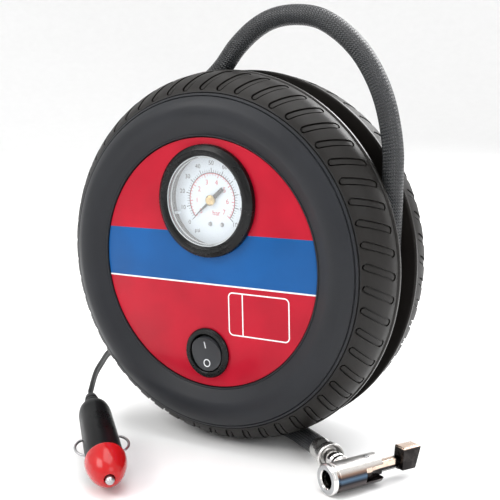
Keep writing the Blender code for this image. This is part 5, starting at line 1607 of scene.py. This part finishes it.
    def hub(self, place):
        outline = rounded(
            [
                (0, -0.0087),
                (0.0010, -0.0087),
                (0.0010, -0.0025),
                (0.0025, -0.0025, 0.0001),
                (0.0025, -0.0018, 0.0004),
                (0.0017, -0.0012, 0.0003),
                (0.0011, -0.0012, 0.0001),
                (0.0009, -0.0014, 0.0001),
                (0, -0.0014),
            ]
        )
        hub = turned("hub_cap", outline, place, 64)
        settled(hub, look("brass"), "needle", "gauge_needle_hub", slot="brass")

    def pointer(self, place, face):
        """A pointer that tapers to its tip, with a ribbed tail."""
        side = [(0.0119, 0.00012), (0.0021, 0.00066), (0.0014, 0.0013), (-0.0014, 0.0013), (-0.0028, 0.00085)]
        for rib in range(5):
            at = -0.0031 - 0.0010 * rib
            side += [(at, 0.00105), (at - 0.0005, 0.00115), (at - 0.0006, 0.00085), (at - 0.0009, 0.00085)]
        side.append((-0.0084, 0.00105))
        outline = [Vector(spot) for spot in side] + [Vector((x, -y)) for x, y in reversed(side)]
        rest = place @ Matrix.Rotation(face.needle_rest, 4, "Z")
        pointer = slab("gauge_pointer", outline, -0.0032, -0.0028, rest)
        cut(pointer, peg("pointer_eye", 0.0011, -0.004, -0.002, place, 32))
        settled(pointer, look("black_plastic"), "needle", "gauge_needle", slot="black_plastic")


class FACE_OT_switch(bpy.types.Operator):
    """Model the round rocker switch with its marks"""

    bl_idname = "inflator.switch"
    bl_label = "Rocker switch"
    bl_options = {"REGISTER", "UNDO"}

    def execute(self, context):
        place = on_face(0, SWITCH_Z)
        outline = rounded(
            [
                (0, -0.0045),
                (0.0092, -0.0045, 0.0002),
                (0.0092, 0.0019, 0.0002),
                (0.0095, 0.0021, 0.0001),
                (0.0112, 0.0021, 0.0004),
                (0.0120, 0.0012, 0.0005),
                (0.0120, 0.0003, 0.0001),
                (0.0104, 0.0003),
                (0.0104, -0.0130, 0.0003),
                (0, -0.0130),
            ]
        )
        collar = turned("switch_collar", outline, place, 128)
        settled(collar, look("black_plastic"), "case", "switch_body", slot="black_plastic")
        tilt = place @ Matrix.Translation((0, 0, 0.0002)) @ Matrix.Rotation(math.radians(8), 4, "X")
        self.rocker(tilt)
        return {"FINISHED"}

    def rocker(self, tilt):
        rocker = peg("rocker_cap", 0.0083, -0.0030, 0.0034, tilt, 96)
        hollow = 0.0293
        saddle = tilt @ aimed((0, 0, 0.0014 + hollow), (1, 0, 0), (0, 1, 0))
        cut(rocker, peg("saddle", hollow, -0.02, 0.02, saddle, 256))
        edge = {"limit_method": "ANGLE", "angle_limit": math.radians(50)}
        finished(rocker, "BEVEL", width=0.0005, segments=3, **edge)
        settled(rocker, self.rocker_finish(), "rocker", "switch_rocker", slot="black_plastic")
        marks = []
        for y in (0.0046, -0.0046):
            slope = math.asin(y / hollow)
            height = 0.0014 + hollow * (1 - math.cos(slope)) + 0.00006
            spot = tilt @ Matrix.Translation((0, y, height)) @ Matrix.Rotation(slope, 4, "X")
            if y > 0:
                marks.append(slab("on_mark", box(0.00052, 0.0036, 0.0001), -0.0003, 0.00005, spot))
            else:
                ring = slab("off_mark", disc(0.0019, 48), -0.0003, 0.00005, spot)
                marks.append(cut(ring, peg("off_inside", 0.00145, -0.001, 0.001, spot, 48)))
        settled(gathered("rocker_marks", marks), look("white_ink"), "rocker", slot="dial_white")

    def rocker_finish(self):
        return moulded("rocker plastic", (0.030, 0.032, 0.036), 0.40, 0.0006, 0.000012)


class CASE_OT_screws(bpy.types.Operator):
    """Model the cross-head screws that hold the two halves together"""

    bl_idname = "inflator.screws"
    bl_label = "Screws"
    bl_options = {"REGISTER", "UNDO"}

    def execute(self, context):
        for index, angle in enumerate(SCREW_ANGLES):
            place = aimed(wheel_point(SCREW_RING, angle), (0, 1, 0)) @ Matrix.Rotation(index * 0.5, 4, "Z")
            outline = rounded(
                [
                    (0, 0.0302),
                    (0.0019, 0.0301, 0.0012),
                    (0.0031, 0.0283, 0.0008),
                    (0.0031, 0.0280, 0.0001),
                    (0.0016, 0.0280),
                    (0.0016, 0.0084),
                    (0.0004, 0.0080),
                    (0, 0.0080),
                ]
            )
            screw = turned(f"cross_screw_{index + 1}", outline, place, 48)
            for turn in (0, 90):
                arm = place @ Matrix.Rotation(math.radians(turn), 4, "Z")
                cut(screw, slab("cross", box(0.0038, 0.0007, 0.0001), 0.0289, 0.0320, arm))
            settled(screw, look("steel"), "case", f"housing_screw_{index + 1}", slot="steel")
        return {"FINISHED"}


class CASE_OT_inner_finishes(bpy.types.Operator):
    """Give every piece that is kept from the frame its finish"""

    bl_idname = "inflator.inner_finishes"
    bl_label = "Inner finishes"
    bl_options = {"REGISTER", "UNDO"}

    def execute(self, context):
        slots = {row["node"]: row["material_slot"] for row in frame["record"]["subparts"]}
        for name, node in frame["nodes"].items():
            if node.hide_render:
                continue
            node.data.materials.clear()
            node.data.materials.append(look(slots[name]))
        return {"FINISHED"}


class INFLATOR_PT_pieces(bpy.types.Panel):
    """The inflator's operators and sizes"""

    bl_idname = "INFLATOR_PT_pieces"
    bl_label = "Tyre inflator"
    bl_space_type = "VIEW_3D"
    bl_region_type = "UI"
    bl_category = "Inflator"

    def draw(self, context):
        column = self.layout.column(align=True)
        for kind in OPERATORS:
            column.operator(kind.bl_idname)
        for name, group in GROUPS.items():
            sizes = self.layout.column(align=True)
            for key in group.__annotations__:
                sizes.prop(getattr(context.scene, name), key)


GROUPS = {
    "inflator_tyre": InflatorTyre,
    "inflator_face": InflatorFace,
    "inflator_cords": InflatorCords,
    "inflator_colours": InflatorColours,
}
OPERATORS = (
    STAGE_OT_studio,
    HOSE_OT_chuck,
    HOSE_OT_air_hose,
    CORD_OT_plug,
    CORD_OT_power_cord,
    TYRE_OT_halves,
    FACE_OT_plate,
    FACE_OT_gauge,
    FACE_OT_switch,
    CASE_OT_screws,
    CASE_OT_inner_finishes,
)


def register():
    for kind in (*GROUPS.values(), *OPERATORS, INFLATOR_PT_pieces):
        bpy.utils.register_class(kind)
    for name, group in GROUPS.items():
        setattr(bpy.types.Scene, name, PointerProperty(type=group))


def unregister():
    for name in GROUPS:
        delattr(bpy.types.Scene, name)
    for kind in reversed((*GROUPS.values(), *OPERATORS, INFLATOR_PT_pieces)):
        bpy.utils.unregister_class(kind)


def main():
    register()
    bpy.ops.inflator.studio()
    bpy.ops.inflator.chuck()
    bpy.ops.inflator.air_hose()
    bpy.ops.inflator.plug()
    bpy.ops.inflator.power_cord()
    bpy.ops.inflator.tyre_halves()
    bpy.ops.inflator.plate()
    bpy.ops.inflator.gauge()
    bpy.ops.inflator.switch()
    bpy.ops.inflator.screws()
    bpy.ops.inflator.inner_finishes()
    choose()


if __name__ == "__main__":
    main()
